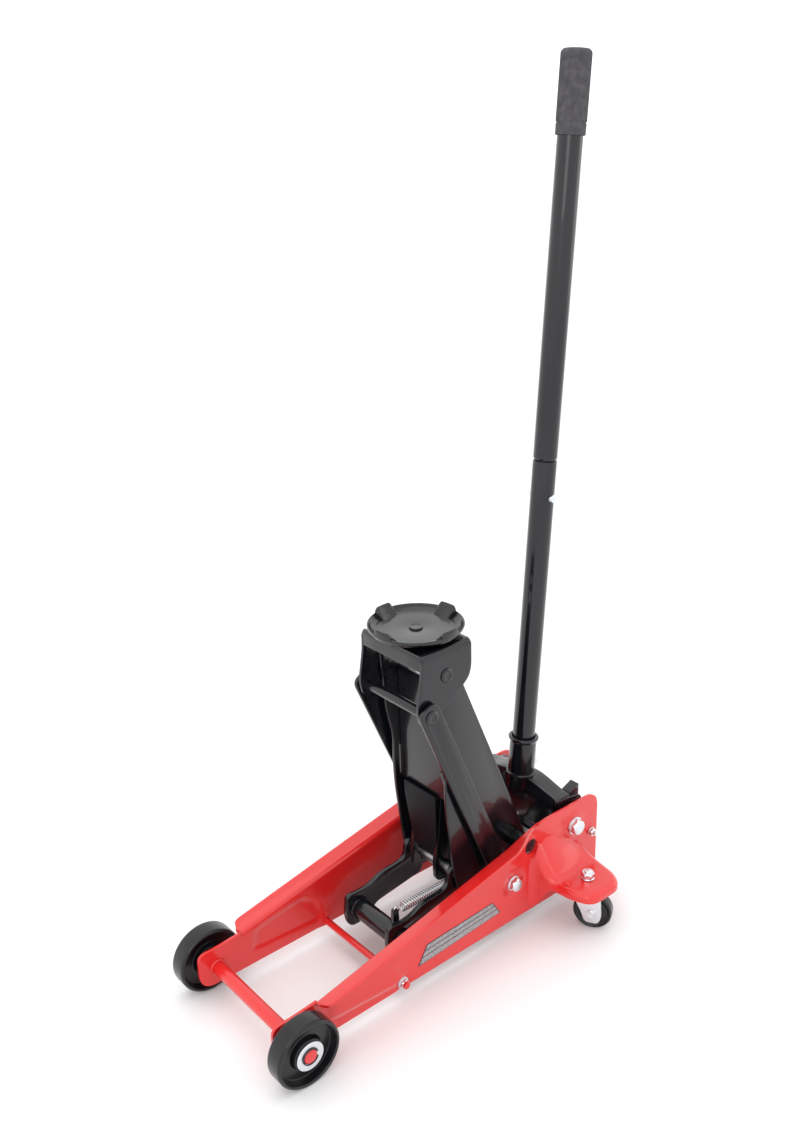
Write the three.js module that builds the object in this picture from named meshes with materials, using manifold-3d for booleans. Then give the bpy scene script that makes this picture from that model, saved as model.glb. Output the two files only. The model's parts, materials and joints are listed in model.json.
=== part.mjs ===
// Trolley jack, standing raised. Millimetres, +Z up, front wheels at -X, handle at +X, left side at -Y.
import * as THREE from 'three';
import { mergeVertices } from 'three/addons/utils/BufferGeometryUtils.js';
import Module from 'manifold-3d';

const wasm = await Module();
wasm.setup();

// ---------- driving dimensions ----------
const GAP = 0.3;                  // clearance between parts that touch
const LEFT = -1;                  // the two sides of the machine, as the sign of Y
const RIGHT = 1;
const MIDDLE_X = 262.3;           // from the front axle to the middle of the overall length

// frame
const SIDE_IN = 81.5;             // inner face of a side plate, from the middle
const SIDE_OUT = 85.5;
const FRAME_FLOOR = 20;           // height of the side plates' bottom edge
const FLANGE_OUT = 105;           // outer edge of the top flange
const TIE = { x: 172, z: 27, r: 4.8 };
const REAR_TIE = { x: 528, z: 93, r: 3.5 };
const AXLE = { x: 0, z: 44.6, r: 9, end: 120.5 };

// front wheels
const WHEEL_R = 44.6;
const WHEEL_IN = 96;
const WHEEL_OUT = 121.5;
const WHEEL_RECESS = 6;           // depth of the dish on each face

// casters
const STUD = { x: 460, y: 141 };
const EAR_TOP = 76;               // top of the bracket over the caster
const EAR_SHEET = 4;
const SKIRT_BOTTOM = 63;
const CASTER_R = 27;
const CASTER_WIDE = 18;
const CASTER_TRAIL = 9;          // wheel axis behind the swivel axis
const CASTER_TURN = THREE.MathUtils.degToRad(60);

// lift linkage: the arm and the straps are the long sides of a parallelogram
const ARM_PIVOT = { x: 404, z: 124 };
const STRAP_PIVOT = { x: 372, z: 80 };
const HEAD_PIN = { x: 278, z: 420 };
const STRAP_PIN = { x: HEAD_PIN.x + STRAP_PIVOT.x - ARM_PIVOT.x, z: HEAD_PIN.z + STRAP_PIVOT.z - ARM_PIVOT.z };
const LEVER_PIN = { x: 302, z: 111, r: 8 };
const ARM_IN = 49;
const ARM_OUT = 54;
const CHEEK_IN = 54.4;            // saddle bracket cheeks, outside the arm
const CHEEK_OUT = 58.6;
const STRAP_IN = 61.5;
const STRAP_OUT = 66.5;
const STRAP_WIDE = 32;
const PIN_R = 7;

// saddle
const BRACKET_TOP = 457;
const SADDLE = { x: 280, floor: 465, rim: 472, lug: 479, r: 61.8, wall: 5, boss: 12, bossUp: 1 };
const SADDLE_LUGS = 4;

// spring bridle, pushed along by the lever pin
const BRIDLE_TUBE = { x: 202, z: 56, r: 14 };
const BRIDLE_IN = 40;
const BRIDLE_OUT = 48;
const SPRING = { y: -33, r: 5.8, wire: 1.2, coils: 20, front: [208, 92], rear: [392, 87] };

// hydraulic unit
const TRUNNION = { x: 480, z: 62, r: 6 };
const BARREL_R = 18;
const BARREL_LONG = 94;
const RAM_R = 11;
const RAM_FOOT = 87;               // inner end of the ram, from the trunnion, with the arm up
const BLOCK = { x0: 496, x1: 535, half: 40, z0: 28, z1: 70 };
const PLUNGER = { x: 511.5, r: 7, cap: 11, top: 123.6, foot: 57, boreFoot: 31 };
const VALVE = { x: 505, y: 28, r: 4, foot: 58, top: 90 };

// handle
const YOKE_PIVOT = { x: 490, z: 121 };
const YOKE_FRONT = 464;           // front face of the yoke
const YOKE_IN = 70;
const YOKE_OUT = 75;
const YOKE_TOP = 178;             // roof height in the middle
const YOKE_EAVE = 166;            // roof height over the yoke's arms
const ROLLER = { x: 510, z: 133, r: 7.5, pin: 4.5 };
const HANDLE_FOOT = { x: 456.6, z: 0 };
const HANDLE_TILT = THREE.MathUtils.degToRad(4.75);
const TUBE_R = 16;
const TUBE_WALL = 2;
const SOCKET = { r: 19, bore: 16.6, z0: 170, z1: 236, lip: 21.5, screw: 190 };
const TUBE_JOINT = 637;           // height where the two handle tubes meet
const GRIP = { z0: 1024, z1: 1133, r: 19 };

// ---------- materials ----------
const paint = (color, roughness, metalness) => () =>
  new THREE.MeshStandardMaterial({ color, roughness, metalness });
const redPaint = paint(0xd8262a, 0.3, 0.1);
const blackPaint = paint(0x17181c, 0.25, 0.2);
const zinc = paint(0xc9ced2, 0.3, 0.9);
const bareSteel = paint(0x8b9096, 0.35, 0.9);
const wheelBlack = paint(0x1b1c1e, 0.6, 0.0);
const gripFoam = paint(0x6f6e70, 0.9, 0.0);
const labelFilm = paint(0xa3a3a4, 0.4, 0.2);

// ---------- solid helpers ----------
const CORNER_SEGMENTS = 3;
const HOLE_SEGMENTS = 14;
const jack = new THREE.Group();
jack.name = 'car_jack';
jack.position.x = -MIDDLE_X;

function add(name, geometry, material, parent = jack) {
  const mesh = new THREE.Mesh(geometry, material());
  mesh.name = name;
  parent.add(mesh);
  return mesh;
}

function toManifold(geometry) {
  const bare = geometry.clone();
  bare.deleteAttribute('normal');
  bare.deleteAttribute('uv');
  const merged = mergeVertices(bare, 1e-4);
  return new wasm.Manifold(new wasm.Mesh({
    numProp: 3,
    vertProperties: new Float32Array(merged.attributes.position.array),
    triVerts: new Uint32Array(merged.index.array),
  }));
}

function fromManifold(solid) {
  const mesh = solid.getMesh();
  const geometry = new THREE.BufferGeometry();
  geometry.setAttribute('position', new THREE.BufferAttribute(new Float32Array(mesh.vertProperties), 3));
  geometry.setIndex(new THREE.BufferAttribute(new Uint32Array(mesh.triVerts), 1));
  const flat = geometry.toNonIndexed();
  flat.computeVertexNormals();
  return flat;
}

const weld = (...parts) => fromManifold(parts.map(toManifold).reduce((a, b) => a.add(b)));
const cut = (body, ...tools) => fromManifold(tools.map(toManifold).reduce((a, b) => a.subtract(b), toManifold(body)));
const common = (a, b) => fromManifold(toManifold(a).intersect(toManifold(b)));

// A polygon whose corners are [u, v, trim]: each corner is rounded off over the trim distance,
// or over just under half the shorter edge beside it if that is less.
function softPolygon(corners) {
  const shape = new THREE.Shape();
  const count = corners.length;
  for (let i = 0; i < count; i += 1) {
    const [u, v, wanted = 0] = corners[i];
    const here = new THREE.Vector2(u, v);
    const before = new THREE.Vector2(...corners[(i + count - 1) % count].slice(0, 2)).sub(here);
    const after = new THREE.Vector2(...corners[(i + 1) % count].slice(0, 2)).sub(here);
    const trim = Math.min(wanted, 0.48 * before.length(), 0.48 * after.length());
    const start = here.clone().addScaledVector(before.normalize(), trim);
    if (i === 0) shape.moveTo(start.x, start.y);
    else shape.lineTo(start.x, start.y);
    if (trim > 0) {
      const end = here.clone().addScaledVector(after.normalize(), trim);
      shape.quadraticCurveTo(u, v, end.x, end.y);
    }
  }
  shape.closePath();
  return shape;
}

// Round holes [u, v, radius], drawn the other way round from the outline, with their flats at the radius.
function withHoles(shape, holes) {
  const clockwise = THREE.ShapeUtils.isClockWise(shape.getPoints());
  for (const [u, v, r] of holes) {
    const corner = r / Math.cos(Math.PI / HOLE_SEGMENTS);
    const rim = new THREE.EllipseCurve(u, v, corner, corner, 0, 2 * Math.PI, !clockwise);
    shape.holes.push(new THREE.Path(rim.getPoints(HOLE_SEGMENTS).slice(0, -1)));
  }
  return shape;
}

// Outline in X and Z, thick along Y from y0 to y1.
function plateXZ(corners, y0, y1, holes = []) {
  const shape = withHoles(softPolygon(corners), holes);
  const geometry = new THREE.ExtrudeGeometry(shape, { depth: Math.abs(y1 - y0), bevelEnabled: false, curveSegments: CORNER_SEGMENTS });
  geometry.rotateX(Math.PI / 2);
  geometry.translate(0, Math.max(y0, y1), 0);
  return geometry;
}

// Outline in X and Y, thick along Z from z0 to z1.
function slabXY(corners, z0, z1, holes = []) {
  const shape = withHoles(softPolygon(corners), holes);
  const geometry = new THREE.ExtrudeGeometry(shape, { depth: z1 - z0, bevelEnabled: false, curveSegments: CORNER_SEGMENTS });
  geometry.translate(0, 0, z0);
  return geometry;
}

// Outline in Y and Z, thick along X from x0 to x1.
function plateYZ(corners, x0, x1, holes = []) {
  const shape = withHoles(softPolygon(corners), holes);
  const geometry = new THREE.ExtrudeGeometry(shape, { depth: x1 - x0, bevelEnabled: false, curveSegments: CORNER_SEGMENTS });
  geometry.rotateX(Math.PI / 2);
  geometry.rotateZ(Math.PI / 2);
  geometry.translate(x0, 0, 0);
  return geometry;
}

function box(x0, x1, y0, y1, z0, z1) {
  const geometry = new THREE.BoxGeometry(x1 - x0, Math.abs(y1 - y0), z1 - z0);
  return geometry.translate((x0 + x1) / 2, (y0 + y1) / 2, (z0 + z1) / 2);
}

function rodY(at, y0, y1, r, segments = 14) {
  const geometry = new THREE.CylinderGeometry(r, r, Math.abs(y1 - y0), segments);
  return geometry.translate(at.x, (y0 + y1) / 2, at.z);
}

function rodZ(x, y, z0, z1, r, segments = 14) {
  const geometry = new THREE.CylinderGeometry(r, r, z1 - z0, segments);
  geometry.rotateX(Math.PI / 2);
  return geometry.translate(x, y, (z0 + z1) / 2);
}

function rodX(z, x0, x1, r, segments = 14) {
  const geometry = new THREE.CylinderGeometry(r, r, x1 - x0, segments);
  geometry.rotateZ(Math.PI / 2);
  return geometry.translate((x0 + x1) / 2, 0, z);
}

// A turned part: profile points are [radius, height], closed on the axis or on itself.
function turned(profile, segments = 18) {
  const points = profile.map(([r, h]) => new THREE.Vector2(r, h));
  return new THREE.LatheGeometry(points, segments);
}

function hexY(at, y0, y1, acrossFlats) {
  return rodY(at, y0, y1, acrossFlats / Math.sqrt(3), 6);
}

// ---------- frame ----------
const SIDE_OUTLINE = [
  [-27, FRAME_FLOOR, 24], [541, FRAME_FLOOR, 10], [541, 155, 24], [423, 155, 30], [36, 76.5, 12], [0, 74, 8], [-27, 74, 24],
];
const FLANGE_FRONT = 38;
const FLANGE_REAR = 422;
const topEdge = (x) => 76.5 + (x - 36) * (155 - 76.5) / (423 - 36);

function sidePlate(side) {
  const holes = [
    [AXLE.x, AXLE.z, AXLE.r + GAP], [TIE.x, TIE.z, TIE.r + GAP],
    [ARM_PIVOT.x, ARM_PIVOT.z, 12 + GAP], [STRAP_PIVOT.x, STRAP_PIVOT.z, PIN_R + GAP],
    [YOKE_PIVOT.x, YOKE_PIVOT.z, PIN_R + GAP], [REAR_TIE.x, REAR_TIE.z, REAR_TIE.r + GAP],
  ];
  const plate = plateXZ(SIDE_OUTLINE, side * SIDE_IN, side * SIDE_OUT, holes);
  const flange = plateXZ([
    [FLANGE_FRONT, topEdge(FLANGE_FRONT) - 4], [FLANGE_REAR, topEdge(FLANGE_REAR) - 4],
    [FLANGE_REAR, topEdge(FLANGE_REAR)], [FLANGE_FRONT, topEdge(FLANGE_FRONT)],
  ], 0, FLANGE_OUT - SIDE_IN - 2);
  const rise = new THREE.Matrix4().makeShear(0, 0, 0, 0.14, 0, 0);
  flange.applyMatrix4(rise);
  const corners = [
    [FLANGE_FRONT - 2, 0], [FLANGE_REAR + 2, 0], [FLANGE_REAR + 2, FLANGE_OUT - SIDE_IN - 2, 14],
    [FLANGE_FRONT - 2, FLANGE_OUT - SIDE_IN - 2, 10],
  ];
  const trimmed = common(flange, slabXY(corners, 0, 300));
  trimmed.translate(0, SIDE_IN + 2, 0);
  if (side === LEFT) mirrorY(trimmed);
  return weld(plate, trimmed);
}

function mirrorY(geometry) {
  geometry.applyMatrix4(new THREE.Matrix4().makeScale(1, -1, 1));
  const positions = geometry.attributes.position;
  for (let i = 0; i < positions.count; i += 3) {
    const [x, y, z] = [positions.getX(i), positions.getY(i), positions.getZ(i)];
    positions.setXYZ(i, positions.getX(i + 1), positions.getY(i + 1), positions.getZ(i + 1));
    positions.setXYZ(i + 1, x, y, z);
  }
  return geometry;
}

// The stamped ear that reaches out over a caster: a flat top that sweeps up the side plate at
// the front, with a skirt turned down all round.
function casterBracket(side) {
  const root = SIDE_OUT + GAP;
  const outline = (inset, rootInset) => [
    [402 + inset, root - rootInset], [504 - inset, root - rootInset], [503 - inset, 118, 16],
    [496 - inset, 160, 14], [484 - inset, 175 - inset, 14], [432 + inset, 175 - inset, 14],
    [418 + inset, 146, 16], [412 + inset, 116, 16],
  ];
  const flat = slabXY(outline(0, 0), EAR_TOP - EAR_SHEET, EAR_TOP);
  const sweep = plateYZ([
    [root, 122], [root + 7, 94, 8], [root + 30, EAR_TOP, 12], [root + 34, EAR_TOP],
    [root + 34, EAR_TOP - EAR_SHEET], [root + 26, EAR_TOP - EAR_SHEET, 12], [root + 3, 90, 8], [root, 108],
  ], 402, 468);
  const ring = cut(slabXY(outline(0, 0), 0, EAR_TOP - 1), slabXY(outline(EAR_SHEET, 20), -1, EAR_TOP));
  const above = plateYZ([
    [root, 26], [root + 28, SKIRT_BOTTOM - 3, 18], [190, SKIRT_BOTTOM], [190, EAR_TOP - 1], [root, EAR_TOP - 1],
  ], 390, 540);
  const ear = cut(weld(flat, sweep, common(ring, above)), rodZ(STUD.x, STUD.y, 50, 100, 5 + GAP));
  return side === LEFT ? mirrorY(ear) : ear;
}

function frontWheel(side) {
  const half = (WHEEL_OUT - WHEEL_IN) / 2;
  const profile = [
    [AXLE.r + GAP, -half + 2], [22, -half + 2], [26, -half + WHEEL_RECESS], [37, -half + WHEEL_RECESS],
    [39, -half], [WHEEL_R - 2.5, -half], [WHEEL_R, -half + 2.5], [WHEEL_R, half - 2.5], [WHEEL_R - 2.5, half],
    [39, half], [37, half - WHEEL_RECESS], [26, half - WHEEL_RECESS], [22, half - 2], [AXLE.r + GAP, half - 2],
    [AXLE.r + GAP, -half + 2],
  ];
  const wheel = turned(profile, 24);
  return wheel.translate(AXLE.x, side * (WHEEL_IN + WHEEL_OUT) / 2, AXLE.z);
}

// ---------- one side of everything that comes in pairs ----------
for (const [side, tag] of [[LEFT, 'left'], [RIGHT, 'right']]) {
  add(`frame_side_${tag}`, sidePlate(side), redPaint);
  add(`caster_bracket_${tag}`, casterBracket(side), redPaint);

  // front wheel, held on by a washer outside it
  add(`front_wheel_${tag}`, frontWheel(side), wheelBlack);
  const hubFace = WHEEL_OUT - 2;
  const washer = cut(rodY(AXLE, side * (hubFace + GAP), side * (hubFace + 2.5), 19, 20),
    rodY(AXLE, side * (hubFace - 5), side * (hubFace + 8), AXLE.r + GAP));
  add(`axle_washer_${tag}`, washer, zinc);

  // nut outside the plate on the end of the tie rod
  const tieNut = cut(weld(rodY(TIE, side * (SIDE_OUT + GAP), side * (SIDE_OUT + 1.6), 6.8),
    hexY(TIE, side * (SIDE_OUT + 1.5), side * (SIDE_OUT + 6), 11.6)),
  rodY(TIE, side * 80, side * 100, TIE.r + GAP));
  add(`tie_rod_nut_${tag}`, tieNut, zinc);

  // swivelling caster: stud and nut on the ear, fork and wheel below it
  const stud = weld(rodZ(STUD.x, side * STUD.y, 70.2, EAR_TOP + 12, 5),
    rodZ(STUD.x, side * STUD.y, EAR_TOP + 1, EAR_TOP + 9, 9.5, 6));
  add(`caster_stud_${tag}`, stud, zinc);

  const caster = new THREE.Group();
  caster.name = `caster_${tag}`;
  caster.position.set(STUD.x, side * STUD.y, 0);
  caster.rotation.z = side * CASTER_TURN;
  jack.add(caster);
  const hub = { x: CASTER_TRAIL, z: CASTER_R };
  const cheekIn = CASTER_WIDE / 2 + 1;
  const cheekOutline = [
    [-20, 66], [-20, 58, 4], [hub.x - 14, 24, 6], [hub.x - 9, 12, 8], [hub.x + 9, 12, 8], [hub.x + 14, 24, 6],
    [21, 58, 4], [21, 66],
  ];
  const cheeks = [LEFT, RIGHT].map((s) => plateXZ(cheekOutline, s * cheekIn, s * (cheekIn + 2.5),
    [[hub.x, hub.z, 3.5 + GAP]]));
  const race = cut(rodZ(0, 0, 65.8, 69.8, 20, 20), rodZ(0, 0, 60, 72, 3));
  const top = box(-20, 21, -cheekIn - 2.5, cheekIn + 2.5, 63.5, 66);
  add(`caster_fork_${tag}`, weld(...cheeks, race, top), zinc, caster);
  const tread = turned([
    [3.5 + GAP, -9], [18, -9], [20, -7], [23, -7], [24, -9], [CASTER_R - 1.5, -9], [CASTER_R, -7],
    [CASTER_R, 7], [CASTER_R - 1.5, 9], [24, 9], [23, 7], [20, 7], [18, 9], [3.5 + GAP, 9], [3.5 + GAP, -9],
  ], 16);
  add(`caster_wheel_${tag}`, tread.translate(hub.x, 0, hub.z), wheelBlack, caster);
  const rivet = weld(rodY(hub, -cheekIn - 4, cheekIn + 4, 3.5, 10),
    rodY(hub, -cheekIn - 4.6, -cheekIn - 2.8, 5.5, 10), rodY(hub, cheekIn + 2.8, cheekIn + 4.6, 5.5, 10));
  add(`caster_axle_${tag}`, rivet, bareSteel, caster);

  // lift arm side: long leg up to the saddle, wide foot round the pivot
  const armOutline = [
    [258, 440, 18], [300, 440, 18], [309, 399, 10], [429, 116, 10], [429, 98, 22], [386, 99, 6], [340, 86, 20],
    [298, 84, 10], [289, 134, 20], [278, 226, 30], [278, 290, 14], [267, 335, 16], [262, 392, 12],
  ];
  add(`arm_side_${tag}`, plateXZ(armOutline, side * ARM_IN, side * ARM_OUT, [
    [HEAD_PIN.x, HEAD_PIN.z, PIN_R + GAP], [ARM_PIVOT.x, ARM_PIVOT.z, 12 + GAP],
  ]), blackPaint);

  // inner lever cheek that carries the lever pin
  const leverOutline = [
    [294.6, 227.5], [332, 193.5, 4], [324, 178, 8], [330, 142, 16], [320, 95, 18], [302, 91, 14], [283, 95, 18],
    [282, 128, 12], [289, 165, 10],
  ];
  add(`lever_cheek_${tag}`, plateXZ(leverOutline, side * 20, side * 26,
    [[LEVER_PIN.x, LEVER_PIN.z, LEVER_PIN.r + GAP]]), blackPaint);

  // parallel strap with its fixed bolt in the side plate
  const dx = STRAP_PIN.x - STRAP_PIVOT.x;
  const dz = STRAP_PIN.z - STRAP_PIVOT.z;
  const long = Math.hypot(dx, dz);
  const reach = STRAP_WIDE / 2;
  const strap = plateXZ([
    [-reach, -reach, 11], [long + reach, -reach, 9], [long + reach, reach, 11], [-reach, reach, 11],
  ], side * STRAP_IN, side * STRAP_OUT, [[0, 0, PIN_R + GAP], [long, 0, PIN_R + GAP]]);
  strap.rotateY(-Math.atan2(dz, dx));
  strap.translate(STRAP_PIVOT.x, 0, STRAP_PIVOT.z);
  add(`link_strap_${tag}`, strap, blackPaint);
  const strapBolt = weld(rodY(STRAP_PIVOT, side * 56, side * (SIDE_OUT + 4), PIN_R),
    rodY(STRAP_PIVOT, side * (STRAP_OUT + GAP), side * (SIDE_IN - GAP), 11),
    rodY(STRAP_PIVOT, side * (SIDE_OUT + GAP), side * (SIDE_OUT + 2.3), 12),
    hexY(STRAP_PIVOT, side * (SIDE_OUT + 2), side * (SIDE_OUT + 10), 17));
  add(`strap_bolt_${tag}`, strapBolt, zinc);

  // spring bridle bar
  const barOutline = [
    [178, 56, 14], [183, 80, 10], [217, 82, 10], [236, 91, 10], [284, 94, 8], [289, 125, 12], [315, 125, 12],
    [318, 90, 16], [314, 61, 6], [229, 50, 8], [217, 32, 10], [185, 32, 12],
  ];
  add(`bridle_bar_${tag}`, plateXZ(barOutline, side * BRIDLE_IN, side * BRIDLE_OUT, [
    [LEVER_PIN.x, LEVER_PIN.z, LEVER_PIN.r + GAP], [BRIDLE_TUBE.x, BRIDLE_TUBE.z, BRIDLE_TUBE.r + GAP],
  ]), blackPaint);

  // pivot bolt of the handle yoke
  const yokeBolt = weld(rodY(YOKE_PIVOT, side * 62, side * (SIDE_OUT + 4), PIN_R),
    rodY(YOKE_PIVOT, side * (YOKE_OUT + GAP), side * (SIDE_IN - GAP), 10),
    rodY(YOKE_PIVOT, side * (SIDE_OUT + GAP), side * (SIDE_OUT + 3), 13),
    hexY(YOKE_PIVOT, side * (SIDE_OUT + 2.8), side * (SIDE_OUT + 12), 19),
    hexY(YOKE_PIVOT, side * 62.5, side * (YOKE_IN - GAP), 19));
  add(`yoke_bolt_${tag}`, yokeBolt, zinc);
}

add('front_axle', rodY(AXLE, -AXLE.end - 3, AXLE.end + 3, AXLE.r, 20), redPaint);
add('tie_rod', rodY(TIE, -94, 94, TIE.r), redPaint);
const rearTieNuts = [LEFT, RIGHT].map((side) => hexY(REAR_TIE, side * (SIDE_OUT + GAP), side * (SIDE_OUT + 6), 11));
add('rear_tie_rod', weld(rodY(REAR_TIE, -SIDE_OUT - 11, SIDE_OUT + 11, REAR_TIE.r), ...rearTieNuts), zinc);

const labelFace = -SIDE_OUT - GAP;
add('label_stripe', plateXZ([[197, 38], [346, 46], [331, 69], [213, 65]], labelFace - 0.5, labelFace), labelFilm);

// ---------- lift arm, across the machine ----------
const crossHalf = ARM_IN - GAP;
const WEB = { x: 289, thick: 5, z0: 226, z1: 392 };
add('arm_web', box(WEB.x, WEB.x + WEB.thick, -crossHalf, crossHalf, WEB.z0, WEB.z1), blackPaint);

// The gusset slopes from the foot of the web back towards the pivot, above the lever cheeks.
const gussetTop = { x: WEB.x + WEB.thick + GAP, z: 232 };
const gussetFoot = { x: 392, z: 143.5 };
const GUSSET_DEEP = 3.4;
add('arm_gusset', plateXZ([
  [gussetTop.x, gussetTop.z - GUSSET_DEEP], [gussetFoot.x, gussetFoot.z - GUSSET_DEEP],
  [gussetFoot.x, gussetFoot.z + GUSSET_DEEP], [gussetTop.x, gussetTop.z + GUSSET_DEEP],
], -crossHalf, crossHalf), blackPaint);

// pivot shaft, with the tab that holds the rear end of the return spring
const springTab = box(SPRING.rear[0] + 1, SPRING.rear[0] + 7, SPRING.y - 3, SPRING.y + 3, SPRING.rear[1] - 6, ARM_PIVOT.z - 4);
add('arm_pivot_shaft', weld(rodY(ARM_PIVOT, -SIDE_OUT, SIDE_OUT, 12, 20), springTab), bareSteel);
const headPin = weld(rodY(HEAD_PIN, -60, 60, PIN_R), rodY(HEAD_PIN, -61, -CHEEK_OUT - GAP, 9),
  rodY(HEAD_PIN, CHEEK_OUT + GAP, 61, 9));
add('head_pin', headPin, blackPaint);
add('lever_pin', rodY(LEVER_PIN, -BRIDLE_OUT, BRIDLE_OUT, LEVER_PIN.r), bareSteel);
const crossRod = weld(rodY(STRAP_PIN, -70, 70, PIN_R), rodY(STRAP_PIN, -71.5, -STRAP_OUT - GAP, 10),
  rodY(STRAP_PIN, STRAP_OUT + GAP, 71.5, 10));
add('strap_cross_rod', crossRod, blackPaint);

// ---------- saddle bracket and saddle ----------
const cheekCorners = [
  [238, BRACKET_TOP], [238, 430, 6], [230, 384, 8], [238, 362, 12], [262, 366, 8], [300, 393, 8], [316, 406, 6],
  [320, 420, 6], [320, BRACKET_TOP, 5],
];
const bracketHoles = [
  [HEAD_PIN.x, HEAD_PIN.z, PIN_R + GAP], [STRAP_PIN.x, STRAP_PIN.z, PIN_R + GAP],
];
const bracketSides = [LEFT, RIGHT].map((side) =>
  plateXZ(cheekCorners, side * CHEEK_IN, side * CHEEK_OUT, bracketHoles));
const bracketTop = slabXY([
  [238, -CHEEK_OUT], [320, -CHEEK_OUT, 6], [320, CHEEK_OUT, 6], [238, CHEEK_OUT],
], BRACKET_TOP - 4, BRACKET_TOP, [[SADDLE.x, 0, 10 + GAP]]);
const bracketLip = box(238, 242, -CHEEK_OUT, CHEEK_OUT, BRACKET_TOP - 20, BRACKET_TOP);
add('saddle_bracket', weld(...bracketSides, bracketTop, bracketLip), blackPaint);

const saddleFloor = BRACKET_TOP + GAP + 1;
const cup = turned([
  [0, saddleFloor - SADDLE.rim], [44, saddleFloor - SADDLE.rim], [SADDLE.r - 3, -6], [SADDLE.r, -2],
  [SADDLE.r, 0], [SADDLE.r - SADDLE.wall, 0], [SADDLE.r - SADDLE.wall - 1, SADDLE.floor - SADDLE.rim],
  [SADDLE.boss, SADDLE.floor - SADDLE.rim], [SADDLE.boss, SADDLE.floor + SADDLE.bossUp - SADDLE.rim],
  [0, SADDLE.floor + SADDLE.bossUp - SADDLE.rim],
], 28);
cup.rotateX(Math.PI / 2);
cup.translate(SADDLE.x, 0, SADDLE.rim);
const lugRing = cut(rodZ(SADDLE.x, 0, SADDLE.floor + 1, SADDLE.lug, SADDLE.r - 1, 28),
  rodZ(SADDLE.x, 0, SADDLE.floor, SADDLE.lug + 1, SADDLE.r - SADDLE.wall, 28));
const lugs = [];
for (let i = 0; i < SADDLE_LUGS; i += 1) {
  const wedge = box(38, 70, -13, 13, SADDLE.floor, SADDLE.lug + 2);
  wedge.rotateZ(THREE.MathUtils.degToRad(5) + i * 2 * Math.PI / SADDLE_LUGS);
  wedge.translate(SADDLE.x, 0, 0);
  lugs.push(common(lugRing, wedge));
}
add('saddle_cup', cut(weld(cup, ...lugs), rodZ(SADDLE.x, 0, 440, 490, 6 + GAP)), blackPaint);
const seat = SADDLE.floor + SADDLE.bossUp + GAP;
const shank = weld(rodZ(SADDLE.x, 0, seat, seat + 1.7, 9), rodZ(SADDLE.x, 0, 438, seat + 1, 6),
  rodZ(SADDLE.x, 0, 438, BRACKET_TOP - 4 - GAP, 14));
add('saddle_screw', shank, blackPaint);

// ---------- spring bridle ----------
const springLug = box(BRIDLE_TUBE.x - 2, SPRING.front[0] - 0.6, SPRING.y - 3, SPRING.y + 3, BRIDLE_TUBE.z, SPRING.front[1] + 6);
const bridleTube = weld(rodY(BRIDLE_TUBE, -BRIDLE_OUT - 4, BRIDLE_OUT + 4, BRIDLE_TUBE.r, 20), springLug);
add('bridle_tube', bridleTube, blackPaint);

class Helix extends THREE.Curve {
  constructor(radius, length, coils) {
    super();
    this.radius = radius;
    this.length = length;
    this.coils = coils;
  }

  getPoint(t, target = new THREE.Vector3()) {
    const angle = 2 * Math.PI * this.coils * t;
    return target.set(this.radius * Math.cos(angle), this.radius * Math.sin(angle), this.length * t);
  }
}

function coilSpring(radius, wire, length, coils, steps) {
  const section = new THREE.Shape();
  section.absarc(0, 0, wire, 0, 2 * Math.PI);
  return new THREE.ExtrudeGeometry(section, {
    steps: coils * steps, curveSegments: 2, extrudePath: new Helix(radius, length, coils), bevelEnabled: false,
  });
}

const [springX0, springZ0] = SPRING.front;
const [springX1, springZ1] = SPRING.rear;
const springLong = Math.hypot(springX1 - springX0, springZ1 - springZ0);
const returnSpring = coilSpring(SPRING.r, SPRING.wire, springLong - 2.4, SPRING.coils, 6);
returnSpring.rotateY(Math.PI / 2 + Math.atan2(springZ0 - springZ1, springX1 - springX0));
returnSpring.translate(springX0 + 1, SPRING.y, springZ0);
add('return_spring', returnSpring, zinc);

// ---------- hydraulic unit ----------
const lug = (side) => plateXZ([[466, 44, 8], [498, 44], [498, 78], [466, 78, 14]], side * 24, side * 34,
  [[TRUNNION.x, TRUNNION.z, TRUNNION.r + GAP]]);
const hanger = (side) => plateXZ([[518, 66], [535, 66], [535, 100, 8], [520, 100, 8]], side * 24, side * 34,
  [[REAR_TIE.x, REAR_TIE.z, REAR_TIE.r + GAP]]);
const blockBody = weld(box(BLOCK.x0, BLOCK.x1, -BLOCK.half, BLOCK.half, BLOCK.z0, BLOCK.z1),
  lug(LEFT), lug(RIGHT), hanger(LEFT), hanger(RIGHT));
const block = cut(blockBody, rodZ(PLUNGER.x, 0, PLUNGER.boreFoot, 80, PLUNGER.r + GAP),
  rodZ(VALVE.x, VALVE.y, VALVE.foot - 3, 80, VALVE.r + GAP));
add('pump_block', block, bareSteel);
add('trunnion_pin', rodY(TRUNNION, -36, 36, TRUNNION.r), bareSteel);

const ramGroup = new THREE.Group();
ramGroup.name = 'ram_line';
ramGroup.position.set(TRUNNION.x, 0, TRUNNION.z);
ramGroup.rotation.y = -Math.atan2(LEVER_PIN.z - TRUNNION.z, LEVER_PIN.x - TRUNNION.x);
jack.add(ramGroup);
const ramReach = Math.hypot(LEVER_PIN.x - TRUNNION.x, LEVER_PIN.z - TRUNNION.z) - LEVER_PIN.r - 1;
const bore = RAM_R + GAP;
const barrel = turned([
  [bore, 14], [BARREL_R, 14], [BARREL_R, BARREL_LONG - 12], [BARREL_R + 1.5, BARREL_LONG - 10],
  [BARREL_R + 1.5, BARREL_LONG], [bore, BARREL_LONG], [bore, 14],
]);
barrel.rotateZ(-Math.PI / 2);
const barrelEye = cut(weld(rodY({ x: 0, z: 0 }, -18, 18, 13, 20), box(0, 14.5, -14, 14, -13, 13)),
  rodY({ x: 0, z: 0 }, -20, 20, TRUNNION.r + GAP));
add('ram_barrel', weld(barrel, barrelEye), bareSteel, ramGroup);
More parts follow.
